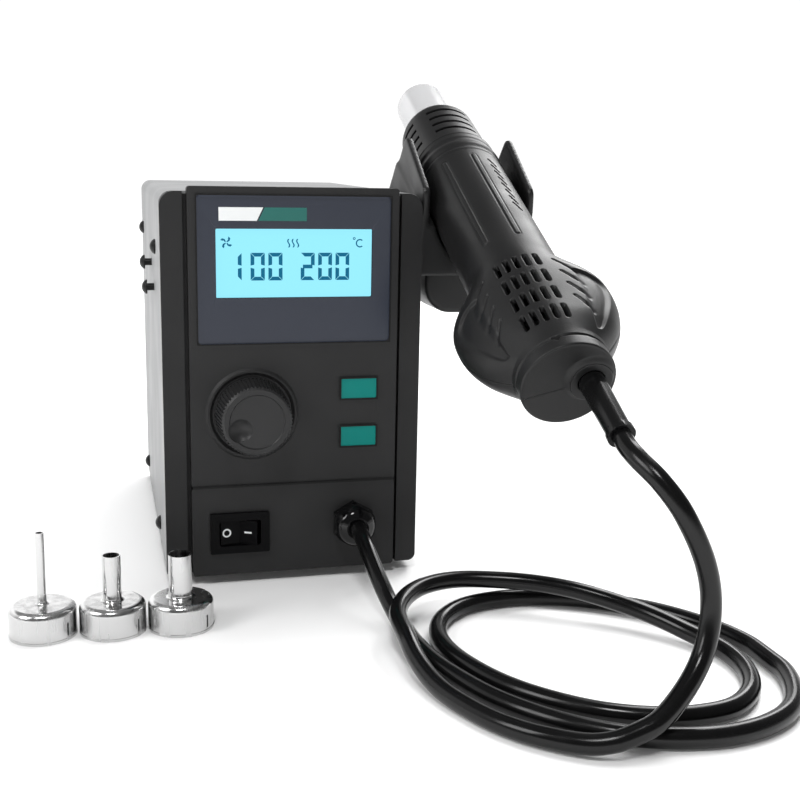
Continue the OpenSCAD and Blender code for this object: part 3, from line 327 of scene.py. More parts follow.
# Edges that bend less than this many degrees are shaded smooth, and those that bend more
# than the second angle are broken
SMOOTH_ANGLE = 32
BROKEN_ANGLE = 30
# Points closer than this, in millimetres, are one point
WELD_GAP = 0.002


def dress_nodes(mats):
    for name, (finish, edge) in DRESS.items():
        obj = nodes[name]
        obj.data.materials.clear()
        obj.data.materials.append(mats[finish])
        if name in SOFT_RIMS:
            soften(obj, *SOFT_RIMS[name])
        else:
            smooth_edges(obj, edge)


def smooth_edges(obj, edge_mm):
    """Joins the faces, breaks the sharp edges and shades the round ones smooth."""
    weld = obj.modifiers.new("weld", "WELD")
    weld.merge_threshold = WELD_GAP * MM
    if edge_mm:
        bevel = obj.modifiers.new("edges", "BEVEL")
        bevel.width = edge_mm * MM
        bevel.segments = 2
        bevel.limit_method = "ANGLE"
        bevel.angle_limit = math.radians(BROKEN_ANGLE)
    obj.data.polygons.foreach_set("use_smooth", [True] * len(obj.data.polygons))
    shade = obj.modifiers.new("shade", "NODES")
    shade.node_group = smooth_by_angle()
    flat = obj.modifiers.new("flat_faces", "WEIGHTED_NORMAL")
    flat.keep_sharp = True


def smooth_by_angle():
    """A node group that keeps edges sharper than the angle crisp."""
    group = bpy.data.node_groups.get("smooth_by_angle")
    if group:
        return group
    group = bpy.data.node_groups.new("smooth_by_angle", "GeometryNodeTree")
    group.interface.new_socket("Mesh", in_out="INPUT", socket_type="NodeSocketGeometry")
    group.interface.new_socket("Mesh", in_out="OUTPUT", socket_type="NodeSocketGeometry")
    start = group.nodes.new("NodeGroupInput")
    end = group.nodes.new("NodeGroupOutput")
    edge = group.nodes.new("GeometryNodeInputMeshEdgeAngle")
    blunt = group.nodes.new("FunctionNodeCompare")
    blunt.data_type = "FLOAT"
    blunt.operation = "LESS_EQUAL"
    blunt.inputs[1].default_value = math.radians(SMOOTH_ANGLE)
    faces = group.nodes.new("GeometryNodeSetShadeSmooth")
    edges = group.nodes.new("GeometryNodeSetShadeSmooth")
    edges.domain = "EDGE"
    link = group.links.new
    link(start.outputs[0], faces.inputs["Geometry"])
    link(faces.outputs[0], edges.inputs["Geometry"])
    link(edge.outputs[0], blunt.inputs[0])
    link(blunt.outputs[0], edges.inputs["Shade Smooth"])
    link(edges.outputs[0], end.inputs[0])
    return group


def soften(obj, grid_mm, rounds):
    """Rounds every rim of a moulded piece: an even grid of faces, relaxed a few times."""
    grid = obj.modifiers.new("grid", "REMESH")
    grid.mode = "VOXEL"
    grid.voxel_size = grid_mm * MM
    grid.use_smooth_shade = True
    relax = obj.modifiers.new("relax", "SMOOTH")
    relax.factor = 0.5
    relax.iterations = rounds


def mesh_piece(name, points, faces, material, smooth=True):
    """A mesh of points in metres, linked to the scene."""
    mesh = bpy.data.meshes.new(name)
    mesh.from_pydata([tuple(p) for p in points], [], [tuple(f) for f in faces])
    mesh.materials.append(material)
    mesh.polygons.foreach_set("use_smooth", [smooth] * len(mesh.polygons))
    obj = bpy.data.objects.new(name, mesh)
    bpy.context.scene.collection.objects.link(obj)
    return obj


# Prints on the front: flat shapes, drawn in x and z in millimetres

# Half the thickness of a print
PRINT_HALF = 0.03


def print_piece(name, shapes, y, material, body="station"):
    """Thin raised shapes, each a convex outline, on a face that looks along -Y."""
    points, faces = [], []
    for shape in shapes:
        n, first = len(shape), len(points)
        points += [(x * MM, (y - PRINT_HALF) * MM, z * MM) for x, z in shape]
        points += [(x * MM, (y + PRINT_HALF) * MM, z * MM) for x, z in shape]
        faces.append([first + i for i in range(n)])
        for i in range(n):
            j = (i + 1) % n
            faces.append([first + i, first + n + i, first + n + j, first + j])
    piece = mesh_piece(name, points, faces, material, smooth=False)
    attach(piece, body)
    return piece


def box_shape(x0, z0, x1, z1):
    return [(x0, z0), (x1, z0), (x1, z1), (x0, z1)]


def arc_band(x, z, r, width, start, end, steps=10):
    """A curved band as short quads, from one angle in degrees to another."""
    def at(angle, q):
        return x + q * math.cos(angle), z + q * math.sin(angle)

    ring = [math.radians(start + (end - start) * i / steps) for i in range(steps + 1)]
    return [[at(a, r), at(a, r + width), at(b, r + width), at(b, r)] for a, b in zip(ring, ring[1:])]


# The display's digits, each of up to seven bars with the usual letters

DIGIT_W = 5.35
DIGIT_H = 10.4
DIGIT_PITCH = 6.72
SEGMENT = 1.42
SEGMENT_GAP = 0.12
SEGMENTS_OF = {"0": "abcdef", "1": "bc", "2": "abged"}
# The flat bars, with how far up the digit each lies
FLAT_BARS = {"a": 1, "g": 0.5, "d": 0}
# How far the outer and the inner side of an upright bar are cut back, in bar widths
END_CUT = (0, 1)
MIDDLE_CUT = (0.18, 0.45)
# Places from the middle of the lit glass
DIGITS_LOW = -6.5
LEFT_DIGITS = -23.45
RIGHT_DIGITS = 2.3
# The leading one stands this much further left than its place among the digits
ONE_SHIFT = 1.98


def flat_bar(x, z, key):
    """A flat bar with its inner side cut back; x and z are the digit's lower left."""
    share = FLAT_BARS[key]
    low = z + share * (DIGIT_H - SEGMENT)
    low_cut, top_cut = share * SEGMENT, (1 - share) * SEGMENT
    left, right = x + SEGMENT_GAP, x + DIGIT_W - SEGMENT_GAP
    return [(left + low_cut, low), (right - low_cut, low),
            (right - top_cut, low + SEGMENT), (left + top_cut, low + SEGMENT)]


def upright_bar(x, z, key):
    """One of the four upright bars of a digit; x and z are the digit's lower left."""
    outer, inner = (x + DIGIT_W, x + DIGIT_W - SEGMENT) if key in "bc" else (x, x + SEGMENT)
    upper = key in "bf"
    low = z + SEGMENT_GAP + (DIGIT_H / 2 if upper else 0)
    top = low + DIGIT_H / 2 - 2 * SEGMENT_GAP
    top_cut, low_cut = (END_CUT, MIDDLE_CUT) if upper else (MIDDLE_CUT, END_CUT)
    return [(outer, low + low_cut[0] * SEGMENT), (inner, low + low_cut[1] * SEGMENT),
            (inner, top - top_cut[1] * SEGMENT), (outer, top - top_cut[0] * SEGMENT)]


def digits(text, x, z):
    shapes = []
    for i, digit in enumerate(text):
        for key in SEGMENTS_OF[digit]:
            bar = flat_bar if key in FLAT_BARS else upright_bar
            shapes.append(bar(x + i * DIGIT_PITCH, z, key))
    return shapes


# The display's small signs, placed from the middle of the lit glass

FAN_AT = (-25.75, 7.75)
FAN_R = 2.2
# A blade's inner and outer half, as places out along it and off its middle, in radii
FAN_BLADE = [
    [(0.15, -0.1), (0.6, -0.22), (0.6, 0.088), (0.15, 0.1)],
    [(0.6, -0.22), (1.0, 0.0), (1.0, 0.42), (0.6, 0.22)],
]
HEAT_AT = (-0.6, 5.9)
HEAT_H = 3.2
HEAT_PITCH = 1.7
HEAT_SWING = 0.35
HEAT_HALF = 0.26
HEAT_STEPS = 8
# The scale's letter is a ring that is open over an angle to both sides of its right
SCALE_AT = (25.2, 7.5)
SCALE_R = 1.15
SCALE_W = 0.5
SCALE_OPEN = 48
DEGREE_AT = (22.95, 9.3)
DEGREE_R = 0.24
DEGREE_W = 0.3


def fan_point(x, z, angle, out, off):
    """A place on a blade of the fan that points at the angle."""
    c, s = math.cos(angle), math.sin(angle)
    return x + FAN_R * (out * c - off * s), z + FAN_R * (out * s + off * c)


def fan_sign(x, z):
    """Four swept blades round an open hub."""
    shapes = []
    for k in range(4):
        angle = math.radians(45 + 90 * k)
        for half in FAN_BLADE:
            shapes.append([fan_point(x, z, angle, out, off) for out, off in half])
    return shapes


def heat_sign(x, z):
    """Three wavy lines that rise."""
    shapes = []
    for k in (-1, 0, 1):
        wave = []
        for i in range(HEAT_STEPS + 1):
            u = i / HEAT_STEPS
            wave.append((x + HEAT_PITCH * k + HEAT_SWING * math.sin(2 * math.pi * u), z + HEAT_H * u))
        for (x0, z0), (x1, z1) in zip(wave, wave[1:]):
            shapes.append([(x0 - HEAT_HALF, z0), (x0 + HEAT_HALF, z0),
                           (x1 + HEAT_HALF, z1), (x1 - HEAT_HALF, z1)])
    return shapes


def scale_sign(x, z):
    """The scale's letter and the small ring before it."""
    letter = arc_band(x + SCALE_AT[0], z + SCALE_AT[1], SCALE_R, SCALE_W, SCALE_OPEN, 360 - SCALE_OPEN)
    ring = arc_band(x + DEGREE_AT[0], z + DEGREE_AT[1], DEGREE_R, DEGREE_W, 0, 360)
    return letter + ring


def add_display(mats):
    low, high = box_mm("lcd_glass")
    face = box_shape(low[0], low[2], high[0], high[2])
    lit = print_piece("lcd_light", [face], low[1], mats["lcd_light"])
    lit.visible_diffuse = False
    lit.visible_glossy = False
    x, z = (low[0] + high[0]) / 2, (low[2] + high[2]) / 2
    shapes = digits("1", x + LEFT_DIGITS - ONE_SHIFT, z + DIGITS_LOW)
    shapes += digits("00", x + LEFT_DIGITS + DIGIT_PITCH, z + DIGITS_LOW)
    shapes += digits("200", x + RIGHT_DIGITS, z + DIGITS_LOW)
    print_piece("lcd_digits", shapes, low[1] - PRINT_HALF, mats["ink"])
    signs = fan_sign(x + FAN_AT[0], z + FAN_AT[1])
    signs += heat_sign(x + HEAT_AT[0], z + HEAT_AT[1])
    signs += scale_sign(x, z)
    print_piece("lcd_icons", signs, low[1] - PRINT_HALF, mats["ink"])


# Two bare bars in the window's upper left, with a slanting split between them

BARS_LEFT = 8.3
BARS_TOP = 4.5
BARS_H = 4.95
WHITE_BAR_W = 14.1
BARS_GAP = 0.6
TEAL_BAR_W = 18.2
BARS_SLANT = 2.4


def add_bars(mats):
    low, high = box_mm("display_window")
    top = high[2] - BARS_TOP
    foot = top - BARS_H
    left = low[0] + BARS_LEFT
    right = left + WHITE_BAR_W
    white = [(left, foot), (right, foot), (right + BARS_SLANT, top), (left, top)]
    print_piece("name_bar_white", [white], low[1], mats["white"])
    left = right + BARS_GAP
    right = left + TEAL_BAR_W
    teal = [(left, foot), (right, foot), (right, top), (left + BARS_SLANT, top)]
    print_piece("name_bar_teal", [teal], low[1], mats["teal_print"])


# Handset shells: a fine skin over the CAD halves, in the handset's own frame

# In these functions t is the distance from the tail, a the angle from the middle of the
# half and r the skin's radius, each an array over the grid. The side is 1 for the upper
# half and -1 for the lower one
HAND_AT = Vector((74, -65.1, 151.2))
HAND_TILT = 26.6
HAND_ROLL = 21.5
# Where the tail lies along the frame's axis, the length of the shells, where their collar
# begins, over what length its step is soft to each side, and the grip's radius
TAIL = -125.0
SHELL_L = 145.6
COLLAR_T = SHELL_L - 13
COLLAR_SOFT = 0.5
GRIP_R = 17.6
# The tail's end is this much slimmer, and widens to the full grip between two places
TAIL_SLIM = 1.3
TAIL_STRAIGHT = 4
GRIP_START = 20
# Past its start the grip gets this much slimmer over this length, up to the collar
GRIP_SLIM = 0.25
SLIM_L = 50
# The bulb's wings: how far they stand out, where most, over what lengths they rise and
# fall and in what curves, how sharp they are across and how far they droop
WING = 11.4
WING_PEAK = 39.5
WING_RISE = 31.0
WING_FALL = 19.0
WING_RISE_CURVE = 0.92
WING_FALL_CURVE = 1.55
WING_SHARP = 4.4
WING_DROOP = 0.37


def step(value, start, end):
    """0 up to the start, 1 from the end on, and a smooth rise between them."""
    u = np.clip((value - start) / (end - start), 0, 1)
    return u * u * (3 - 2 * u)


def wing_out(t):
    """How far the wings stand out at their edge."""
    u = t - WING_PEAK
    rise = np.power(np.clip(1 - (u / WING_RISE) ** 2, 0, 1), WING_RISE_CURVE)
    fall = 1 - step(np.power(np.clip(u / WING_FALL, 0, 1), WING_FALL_CURVE), 0, 1)
    return WING * np.where(u < 0, rise, fall)


def crown_r(t):
    """The radius of the grip without its wings."""
    tail = TAIL_SLIM * (1 - step(t, TAIL_STRAIGHT, GRIP_START))
    before_collar = 1 - step(t, COLLAR_T - COLLAR_SOFT, COLLAR_T + COLLAR_SOFT)
    grip = GRIP_SLIM * step(t, GRIP_START, GRIP_START + SLIM_L) * before_collar
    return GRIP_R - np.where(t < GRIP_START, tail, grip)


def stroke(t, a, r, start, end, width, soft=0.18):
    """1 inside a stroke between two (t, a) places, falling to 0 past half its width."""
    arc = np.radians(1) * r
    x, y = t - start[0], (a - start[1]) * arc
    dx, dy = end[0] - start[0], (end[1] - start[1]) * arc
    along = np.clip((x * dx + y * dy) / (dx * dx + dy * dy), 0, 1)
    gap = np.hypot(x - along * dx, y - along * dy)
    return 1 - step(gap, width / 2 - soft, width / 2 + soft)


# The leaf-shaped hollow in each wing. Its upper ridge lies so many degrees from the
# crown and bends away from it towards the tail
HOLLOW_DEEP = 1.1
HOLLOW_START = 11.5
HOLLOW_L = 32.5
HOLLOW_TOP = 50.5
HOLLOW_BEND = 5.5
HOLLOW_BEND_T = 24
# The leaf's widest turn in degrees, the curves that open and close it, and the turn from
# which on it has its full depth
HOLLOW_TURN = 32
HOLLOW_OPENS = 0.35
HOLLOW_TIP = 12
HOLLOW_CLOSES = 0.6
HOLLOW_FULL = 18
# The parts of its width between which it is deepest
DEEPEST_START = 0.4
DEEPEST_END = 0.82
# Keeps a division safe where the leaf has no width
TINY = 0.01


def hollow(t, a):
    """The hollow in a wing: 1 where it is deepest and 0 at its ridges."""
    along = np.clip((t - HOLLOW_START) / HOLLOW_L, 0, 1)
    opens = np.power(along, HOLLOW_OPENS)
    turn = HOLLOW_TURN * opens * np.power(1 - along ** HOLLOW_TIP, HOLLOW_CLOSES)
    bend = np.clip((HOLLOW_BEND_T - t) / (HOLLOW_BEND_T - HOLLOW_START), 0, 1)
    top = HOLLOW_TOP + HOLLOW_BEND * bend ** 2
    across = np.clip((np.abs(a) - top) / (turn + TINY), 0, 1)
    dish = step(across, 0, DEEPEST_START) * (1 - step(across, DEEPEST_END, 1))
    return dish * step(turn, 0, HOLLOW_FULL)


# Slanting slits in the wings, each with a soft flare at its lower end. The ends of both are
# given as how far they lie towards the tail from the slit's start, and at what angle
SLIT_STARTS = [49, 41, 33.5, 26]
SLIT_ENDS = (0, 43), (5.2, 53)
SLIT_DEEP = 0.9
SLIT_W = 0.9
SLIT_SOFT = 0.3
FLARE_ENDS = (4, 51), (6.5, 57)
FLARE_DEEP = 0.35
FLARE_W = 1.8
FLARE_SOFT = 0.9
# The share of the depth in each wing: the slits at negative angles are shallower
WING_SHARE = {-1: 0.6, 1: 1}


def in_wing(ends, start, wing):
    """The ends of a slit or a flare as (t, a) places."""
    return [(start - back, angle * wing) for back, angle in ends]


def add_slits(deep, t, a, r):
    for start in SLIT_STARTS:
        for wing, share in WING_SHARE.items():
            slit = stroke(t, a, r, *in_wing(SLIT_ENDS, start, wing), SLIT_W, SLIT_SOFT)
            flare = stroke(t, a, r, *in_wing(FLARE_ENDS, start, wing), FLARE_W, FLARE_SOFT)
            deep = np.maximum(deep + FLARE_DEEP * share * flare, SLIT_DEEP * share * slit)
    return deep


# A row of short slanting ticks along the grip
TICKS = 8
TICK_TOP = 125
TICK_PITCH = 5
TICK_L = 4.2
TICK_ANGLES = (39.5, 47)
TICK_W = 0.9
TICK_DEEP = 0.6


def ticks(t, a, r):
    deep = np.zeros_like(t)
    for k in range(TICKS):
        top = TICK_TOP - TICK_PITCH * k
        ends = (top, TICK_ANGLES[0]), (top - TICK_L, TICK_ANGLES[1])
        deep += TICK_DEEP * stroke(t, a, r, *ends, TICK_W)
    return deep


# Two raised bars along the grip, each in a shallow outline
BAR_ENDS = (67, 127)
BAR_ANGLE = 20.5
BAR_W = 1.8
BAR_H = 0.45
OUTLINE_W = 2.9
OUTLINE_DEEP = 0.14
BAR_SOFT = 0.2


def grip_bars(t, a, r):
    deep = np.zeros_like(t)
    for angle in (-BAR_ANGLE, BAR_ANGLE):
        ends = (BAR_ENDS[0], angle), (BAR_ENDS[1], angle)
        deep += OUTLINE_DEEP * stroke(t, a, r, *ends, OUTLINE_W, BAR_SOFT)
        deep -= BAR_H * stroke(t, a, r, *ends, BAR_W, BAR_SOFT)
    return deep


# The ring groove at the tail and the small arrow on it that points at the end
GROOVE_T = 5.35
GROOVE_HALF = 0.5
# The groove's depth and half the width of its flat floor, on each half of the shell
UPPER_GROOVE = (0.6, 0.25)
LOWER_GROOVE = (0.5, 0.2)
ARROW_TIP = 3.6
ARROW_FOOT = 5.9
ARROW_SLOPE = 0.75
ARROW_DEEP = 1.2


def tail_groove(t, deep, flat):
    return deep * (1 - step(np.abs(t - GROOVE_T), flat, GROOVE_HALF))


def arrow(t, a, r):
    across = np.abs(np.radians(a) * r)
    inside = (t > ARROW_TIP) & (t < ARROW_FOOT) & (across < (t - ARROW_TIP) * ARROW_SLOPE)
    return ARROW_DEEP * inside


# Soft rings round the collar at the barrel's end, as a wave that fades in and out
RINGS_START = (133, 135)
RINGS_END = (142.5, 144)
RINGS_MIDDLE = 139.75
RINGS_TURN = 0.9
RINGS_DEEP = 0.35


def collar_rings(t):
    wave = RINGS_DEEP * np.sin((t - RINGS_MIDDLE) * RINGS_TURN)
    return wave * step(t, *RINGS_START) * (1 - step(t, *RINGS_END))


# Rows of open slots over the bulb
SLOT_ROWS = [14.5 + 10.4 * k for k in range(4)]
SLOT_ANGLES = [12 * k for k in range(-2, 3)]
SLOT_L = 5.4
SLOT_W = 1.75
SLOT_SOFT = 0.16
SLOT_DEEP = 2.2


def slots(t, a, r):
    """1 inside the slots and 0 outside them."""
    inside = np.zeros_like(t)
    for row in SLOT_ROWS:
        for angle in SLOT_ANGLES:
            ends = (row, angle), (row + SLOT_L, angle)
            inside = np.maximum(inside, stroke(t, a, r, *ends, SLOT_W, SLOT_SOFT))
    return inside


def upper_relief(t, a, r):
    """How far the upper skin lies below its plain form, and where it is open."""
    deep = add_slits(HOLLOW_DEEP * hollow(t, a), t, a, r)
    deep = deep + ticks(t, a, r) + tail_groove(t, *UPPER_GROOVE) + arrow(t, a, r)
    deep = deep + grip_bars(t, a, r) + collar_rings(t)
    inside = slots(t, a, r)
    return deep + SLOT_DEEP * inside, inside


def lower_relief(t):
    """The same for the lower skin, which has no openings."""
    return tail_groove(t, *LOWER_GROOVE) + collar_rings(t), np.zeros_like(t)


def to_world(x, y, z):
    """From the handset's own frame, in millimetres, to the scene in metres."""
    tilt = Matrix.Rotation(math.radians(HAND_TILT - 90), 3, "X")
    roll = Matrix.Rotation(math.radians(-HAND_ROLL), 3, "Z")
    places = np.stack([x, y, z], axis=-1) @ np.array(tilt @ roll).T + np.array(HAND_AT)
    return places * MM


# The tail's rounded rim with the rows of points round it, and the steps between the rows
# of the bulb and of the grip
RIM = 0.8
RIM_ROWS = [0.0, 0.08, 0.2, 0.35, 0.55, RIM]
BULB_STEP = 0.3
GRIP_STEP = 0.36
BULB_END = 60
# The rows stop this far before the shell's end, where the last one lies
LAST_GAP = 0.9
# Columns of points across each half
UPPER_COLUMNS = 230
LOWER_COLUMNS = 120
# The halves end this many degrees apart, with edges that dip over a short way, and a
# degree round the grip is about 0.3 mm
SEAM = 0.5
SEAM_DEEP = 0.25
SEAM_SOFT = 0.35
DEGREE = 0.3
# A face is left out where all four corners are this far inside a slot
OPEN = 0.98


def shell_rows():
    """Distances from the tail, closest round the rim."""
    bulb = np.arange(RIM + BULB_STEP, BULB_END, BULB_STEP)
    grip = np.arange(BULB_END, SHELL_L - LAST_GAP, GRIP_STEP)
    return np.concatenate([RIM_ROWS, bulb, grip, [SHELL_L]])


def shell_wall(side, t, a):
    """One half's wall over a grid: its x and y in the handset's frame, and its open places."""
    swell = wing_out(t) * np.power(np.abs(np.sin(np.radians(a))), WING_SHARP)
    plain = crown_r(t) + swell
    deep, inside = upper_relief(t, a, plain) if side > 0 else lower_relief(t)
    rim = RIM * (1 - np.sqrt(np.clip(1 - (1 - t / RIM) ** 2, 0, 1))) * (t < RIM)
    edge = SEAM_DEEP * (1 - step((90 - np.abs(a)) * DEGREE, 0, SEAM_SOFT))
    r = plain - rim - deep - edge
    x = r * np.sin(np.radians(a))
    y = WING_DROOP * swell - side * r * np.cos(np.radians(a))
    return x, y, inside


# The end round the lead's passage: rows of points, the passage's middle and radius, and
# how far its raised flare reaches and stands out on the lower and the upper half
CAP_ROWS = 36
CORD_PLACE = (7.15, 1.0)
CORD_HOLE = 7.35
CAP_FLARE = {-1: (1.0, 0.5), 1: (2.6, 1.2)}
# The seam's dip in the end, and the degrees over which it fades
CAP_SEAM_DEEP = 0.3
CAP_SEAM_FADE = 1.2


def end_cap(a, side, outer_x, outer_y):
    """The flat end with the raised flare round the lead's collar."""
    reach, height = CAP_FLARE[side]
    inner_x = CORD_PLACE[0] + CORD_HOLE * np.sin(np.radians(a))
    inner_y = CORD_PLACE[1] - side * CORD_HOLE * np.cos(np.radians(a))
    seam = CAP_SEAM_DEEP * (1 - step(90 - np.abs(a), 0, CAP_SEAM_FADE))
    rows = []
    for i in range(CAP_ROWS):
        x = inner_x + (outer_x - inner_x) * i / CAP_ROWS
        y = inner_y + (outer_y - inner_y) * i / CAP_ROWS
        gap = np.hypot(x - CORD_PLACE[0], y - CORD_PLACE[1]) - CORD_HOLE
        rows.append(to_world(x, y, TAIL - height * (1 - step(gap, 0, reach)) + seam))
    return np.array(rows)


def grid_faces(inside, side):
    """The quads of a grid of points, without those inside a slot."""
    rows, columns = inside.shape
    faces = []
    for i in range(rows - 1):
        for j in range(columns - 1):
            if inside[i:i + 2, j:j + 2].min() < OPEN:
                here, next_row = i * columns + j, (i + 1) * columns + j
                face = [here, here + 1, next_row + 1, next_row]
                faces.append(face if side > 0 else face[::-1])
    return faces


def shell_skin(name, side, columns, material):
    """One half: its end cap, its rounded rim and its side wall, as one grid."""
    angles = np.linspace(-90 + SEAM / 2, 90 - SEAM / 2, columns)
    t, a = np.meshgrid(shell_rows(), angles, indexing="ij")
    x, y, inside = shell_wall(side, t, a)
    cap = end_cap(angles, side, x[0], y[0])
    points = np.concatenate([cap, to_world(x, y, t + TAIL)])
    inside = np.concatenate([np.zeros(cap.shape[:2]), inside])
    return mesh_piece(name, points.reshape(-1, 3), grid_faces(inside, side), material)


def add_shells(mats):
    upper = shell_skin("upper_skin", 1, UPPER_COLUMNS, mats["handset"])
    lower = shell_skin("lower_skin", -1, LOWER_COLUMNS, mats["handset"])
    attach(upper, "handset")
    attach(lower, "handset")
    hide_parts("shell_upper")
    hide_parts("shell_lower")


# The rocker's marks: a ring on the end that is in, a dash on the end that stands out

RING_X = -4.6
RING_R = 1.12
RING_W = 0.62
RING_STEPS = 28
DASH_X = 3.5
DASH = box_shape(-1.4, -0.33, 1.5, 0.33)
# How far in front of the key a ray starts that finds its surface
RAY_AHEAD = 20


def key_surface(x):
    """A place on the rocker key's front, at x from its middle, and the normal there."""
    low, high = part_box("rocker_key")
    start = Vector(((low[0] + high[0]) / 2 + x * MM, low[1] - RAY_AHEAD * MM, (low[2] + high[2]) / 2))
    _, place, normal, _ = nodes["rocker_key"].ray_cast(start, Vector((0, 1, 0)))
    return place, normal


def rocker_mark(name, x, shapes, material):
    """A print laid on the key's sloping front."""
    place, normal = key_surface(x)
    mark = print_piece(name, shapes, 0, material, "rocker")
    mark.data.transform(Matrix.Rotation(math.atan2(normal[0], -normal[1]), 4, "Z"))
    mark.data.transform(Matrix.Translation(place))


def add_rocker_marks(mats):
    ring = arc_band(0, 0, RING_R, RING_W, 0, 360, RING_STEPS)
    rocker_mark("off_mark", RING_X, ring, mats["white"])
    rocker_mark("on_mark", DASH_X, [DASH], mats["white"])


# Dark joints round the window and the buttons and between the two panels

# How far each joint's outer edge lies outside the node's outline, and its width
BUTTON_JOINT = (-0.45, 0.65)
WINDOW_JOINT = (0.3, 0.45)
# The joint between the panels, from the upper panel's lower edge
PANEL_JOINT_IN = 0.4
PANEL_JOINT_DOWN = 0.3
PANEL_JOINT_UP = 0.45


def frame_round(node, out, width):
    """Four mitred strips along the outline of a node."""
    low, high = box_mm(node)
    x0, z0 = low[0] - out, low[2] - out
    x1, z1 = high[0] + out, high[2] + out
    outer = box_shape(x0, z0, x1, z1)
    inner = box_shape(x0 + width, z0 + width, x1 - width, z1 - width)
    return [[outer[i], outer[(i + 1) % 4], inner[(i + 1) % 4], inner[i]] for i in range(4)]


def add_joints(mats):
    low, high = box_mm("upper_panel")
    for node in ("button_upper", "button_lower"):
        print_piece("joint_" + node, frame_round(node, *BUTTON_JOINT), low[1], mats["dark"])
    y = min(low[1], box_mm("display_window")[0][1])
    print_piece("joint_window", frame_round("display_window", *WINDOW_JOINT), y, mats["dark"])
    strip = box_shape(low[0] + PANEL_JOINT_IN, low[2] - PANEL_JOINT_DOWN,
                      high[0] - PANEL_JOINT_IN, low[2] + PANEL_JOINT_UP)
    print_piece("joint_panels", [strip], low[1], mats["dark"])


# The lead

CORD_D = 6.4
# Steps between two points of the route, and sides of the tube
CORD_STEPS = 6
CORD_SIDES = 20
# The lead stays this far inside the CAD's bounds
CORD_SPARE = 0.05
# From the gland to the handset's sleeve, in millimetres, as in the part's source
ROUTE = [
    [23.3, -91.6, 22.7], [23.3, -97.6, 22.7], [23.19, -107.81, 20.99], [24.63, -123.02, 13.66],
    [26.93, -136.36, 6.44], [28.18, -148.82, 3.64], [29, -164, 3.3], [31.5, -179, 3.3],
    [36, -193, 3.3], [42, -206.5, 3.3], [50.5, -219, 3.3], [61, -229.5, 3.3], [73.5, -237.5, 3.3],
    [88, -242, 3.3], [102.5, -243, 3.3], [117, -239.5, 3.3], [129.5, -231.5, 3.3],
    [138, -219, 3.3], [142.5, -205, 3.3], [142.5, -190, 3.3], [139, -175.5, 3.3],
    [132, -162.5, 3.3], [123, -151, 3.3], [111.5, -141.5, 3.3], [98.5, -134, 3.3],
    [84, -129.5, 3.3], [69, -129, 3.3], [55, -133, 3.3], [44, -143, 3.3], [38.5, -156.5, 3.3],
    [38.5, -171.5, 3.3], [42.5, -186, 3.3], [49, -199.5, 3.3], [58, -211, 3.3], [69.5, -221, 3.3],
    [83, -227.5, 3.3], [97.5, -230, 3.3], [112, -227.5, 3.3], [123.5, -218, 3.3],
    [130, -204.5, 3.3], [130.5, -190, 3.6], [125, -176, 4.5], [117, -163.5, 6.5], [107, -153, 8.5],
    [95, -144, 10.5], [83, -135.5, 11], [69.5, -129, 11], [54.5, -125.5, 11], [41.5, -129, 11],
    [31.5, -138.5, 11], [25, -152, 10.5], [24, -167, 9], [24.5, -181.5, 5.8], [27, -196, 3.7],
    [32, -210, 3.3], [39, -223, 3.3], [49, -234, 3.6], [61.5, -242, 4.5], [75.5, -243.5, 8.5],
    [88, -238, 15], [97.5, -232, 24.5], [100.8, -228.77, 37.11], [97.85, -228.49, 51.23],
    [91, -226.7, 65.69], [85.76, -220.99, 74.28], [82.21, -213.7, 78.99], [81.02, -207.58, 81.74],
    [81.02, -203.11, 83.98],
]


def curve_point(points, i, u):
    """A point of the smooth curve through the points, at u from 0 to 1 past point i."""
    b, c = points[i], points[i + 1]
    a = points[i - 1] if i else 2 * b - c
    d = points[i + 2] if i + 2 < len(points) else 2 * c - b
    return (2 * b + (c - a) * u + (2 * a - 5 * b + 4 * c - d) * u * u
            + (3 * b - a - 3 * c + d) * u ** 3) / 2


def cord_centres():
    """The lead's centre line in metres, kept inside the CAD's bounds."""
    route = [np.array(p, float) for p in ROUTE]
    centres = []
    for i in range(len(route) - 1):
        centres += [curve_point(route, i, k / CORD_STEPS) for k in range(CORD_STEPS)]
    centres = np.array(centres + [route[-1]]) * MM
    reach = (CORD_D / 2 + CORD_SPARE) * MM
    return np.clip(centres, np.array(cad_box[0]) + reach, np.array(cad_box[1]) - reach)


def tube_points(centres, radius, sides):
    """Rings of points along the centres, carried without twist."""
    along = np.gradient(centres, axis=0)
    along[0] = centres[1] - centres[0]
    along[-1] = centres[-1] - centres[-2]
    along /= np.linalg.norm(along, axis=1)[:, None]
    across = np.cross(along[0], (0, 0, 1))
    points = []
    for centre, way in zip(centres, along):
        across = across - way * (across @ way)
        across /= np.linalg.norm(across)
        third = np.cross(way, across)
        for j in range(sides):
            a = 2 * math.pi * (j + 0.5) / sides
            points.append(centre + radius * (math.cos(a) * across + math.sin(a) * third))
    return points


def tube(name, centres, radius, sides, material):
    """A closed tube along the centres."""
    rings = len(centres)
    faces = []
    for i in range(rings - 1):
        for j in range(sides):
            k = (j + 1) % sides
            here, onward = i * sides, (i + 1) * sides
            faces.append((here + j, here + k, onward + k, onward + j))
    faces.append(range(sides)[::-1])
    faces.append(range((rings - 1) * sides, rings * sides))
    return mesh_piece(name, tube_points(centres, radius, sides), faces, material)


def add_cord(mats):
    centres = cord_centres()
    cord = tube("lead", centres, CORD_D / 2 * MM, CORD_SIDES, mats["cord"])
    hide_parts("handset_cord")
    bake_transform(cord)


# Floor and light

# Half the floor's side, in metres, as are the lights' places and sizes
FLOOR_HALF = 3.0
# How bright the world is: the backdrop seen behind the object, the part above it and the
# room on the camera's side
BACKDROP = 1.05
OVERHEAD = 0.2
ROOM = 0.13
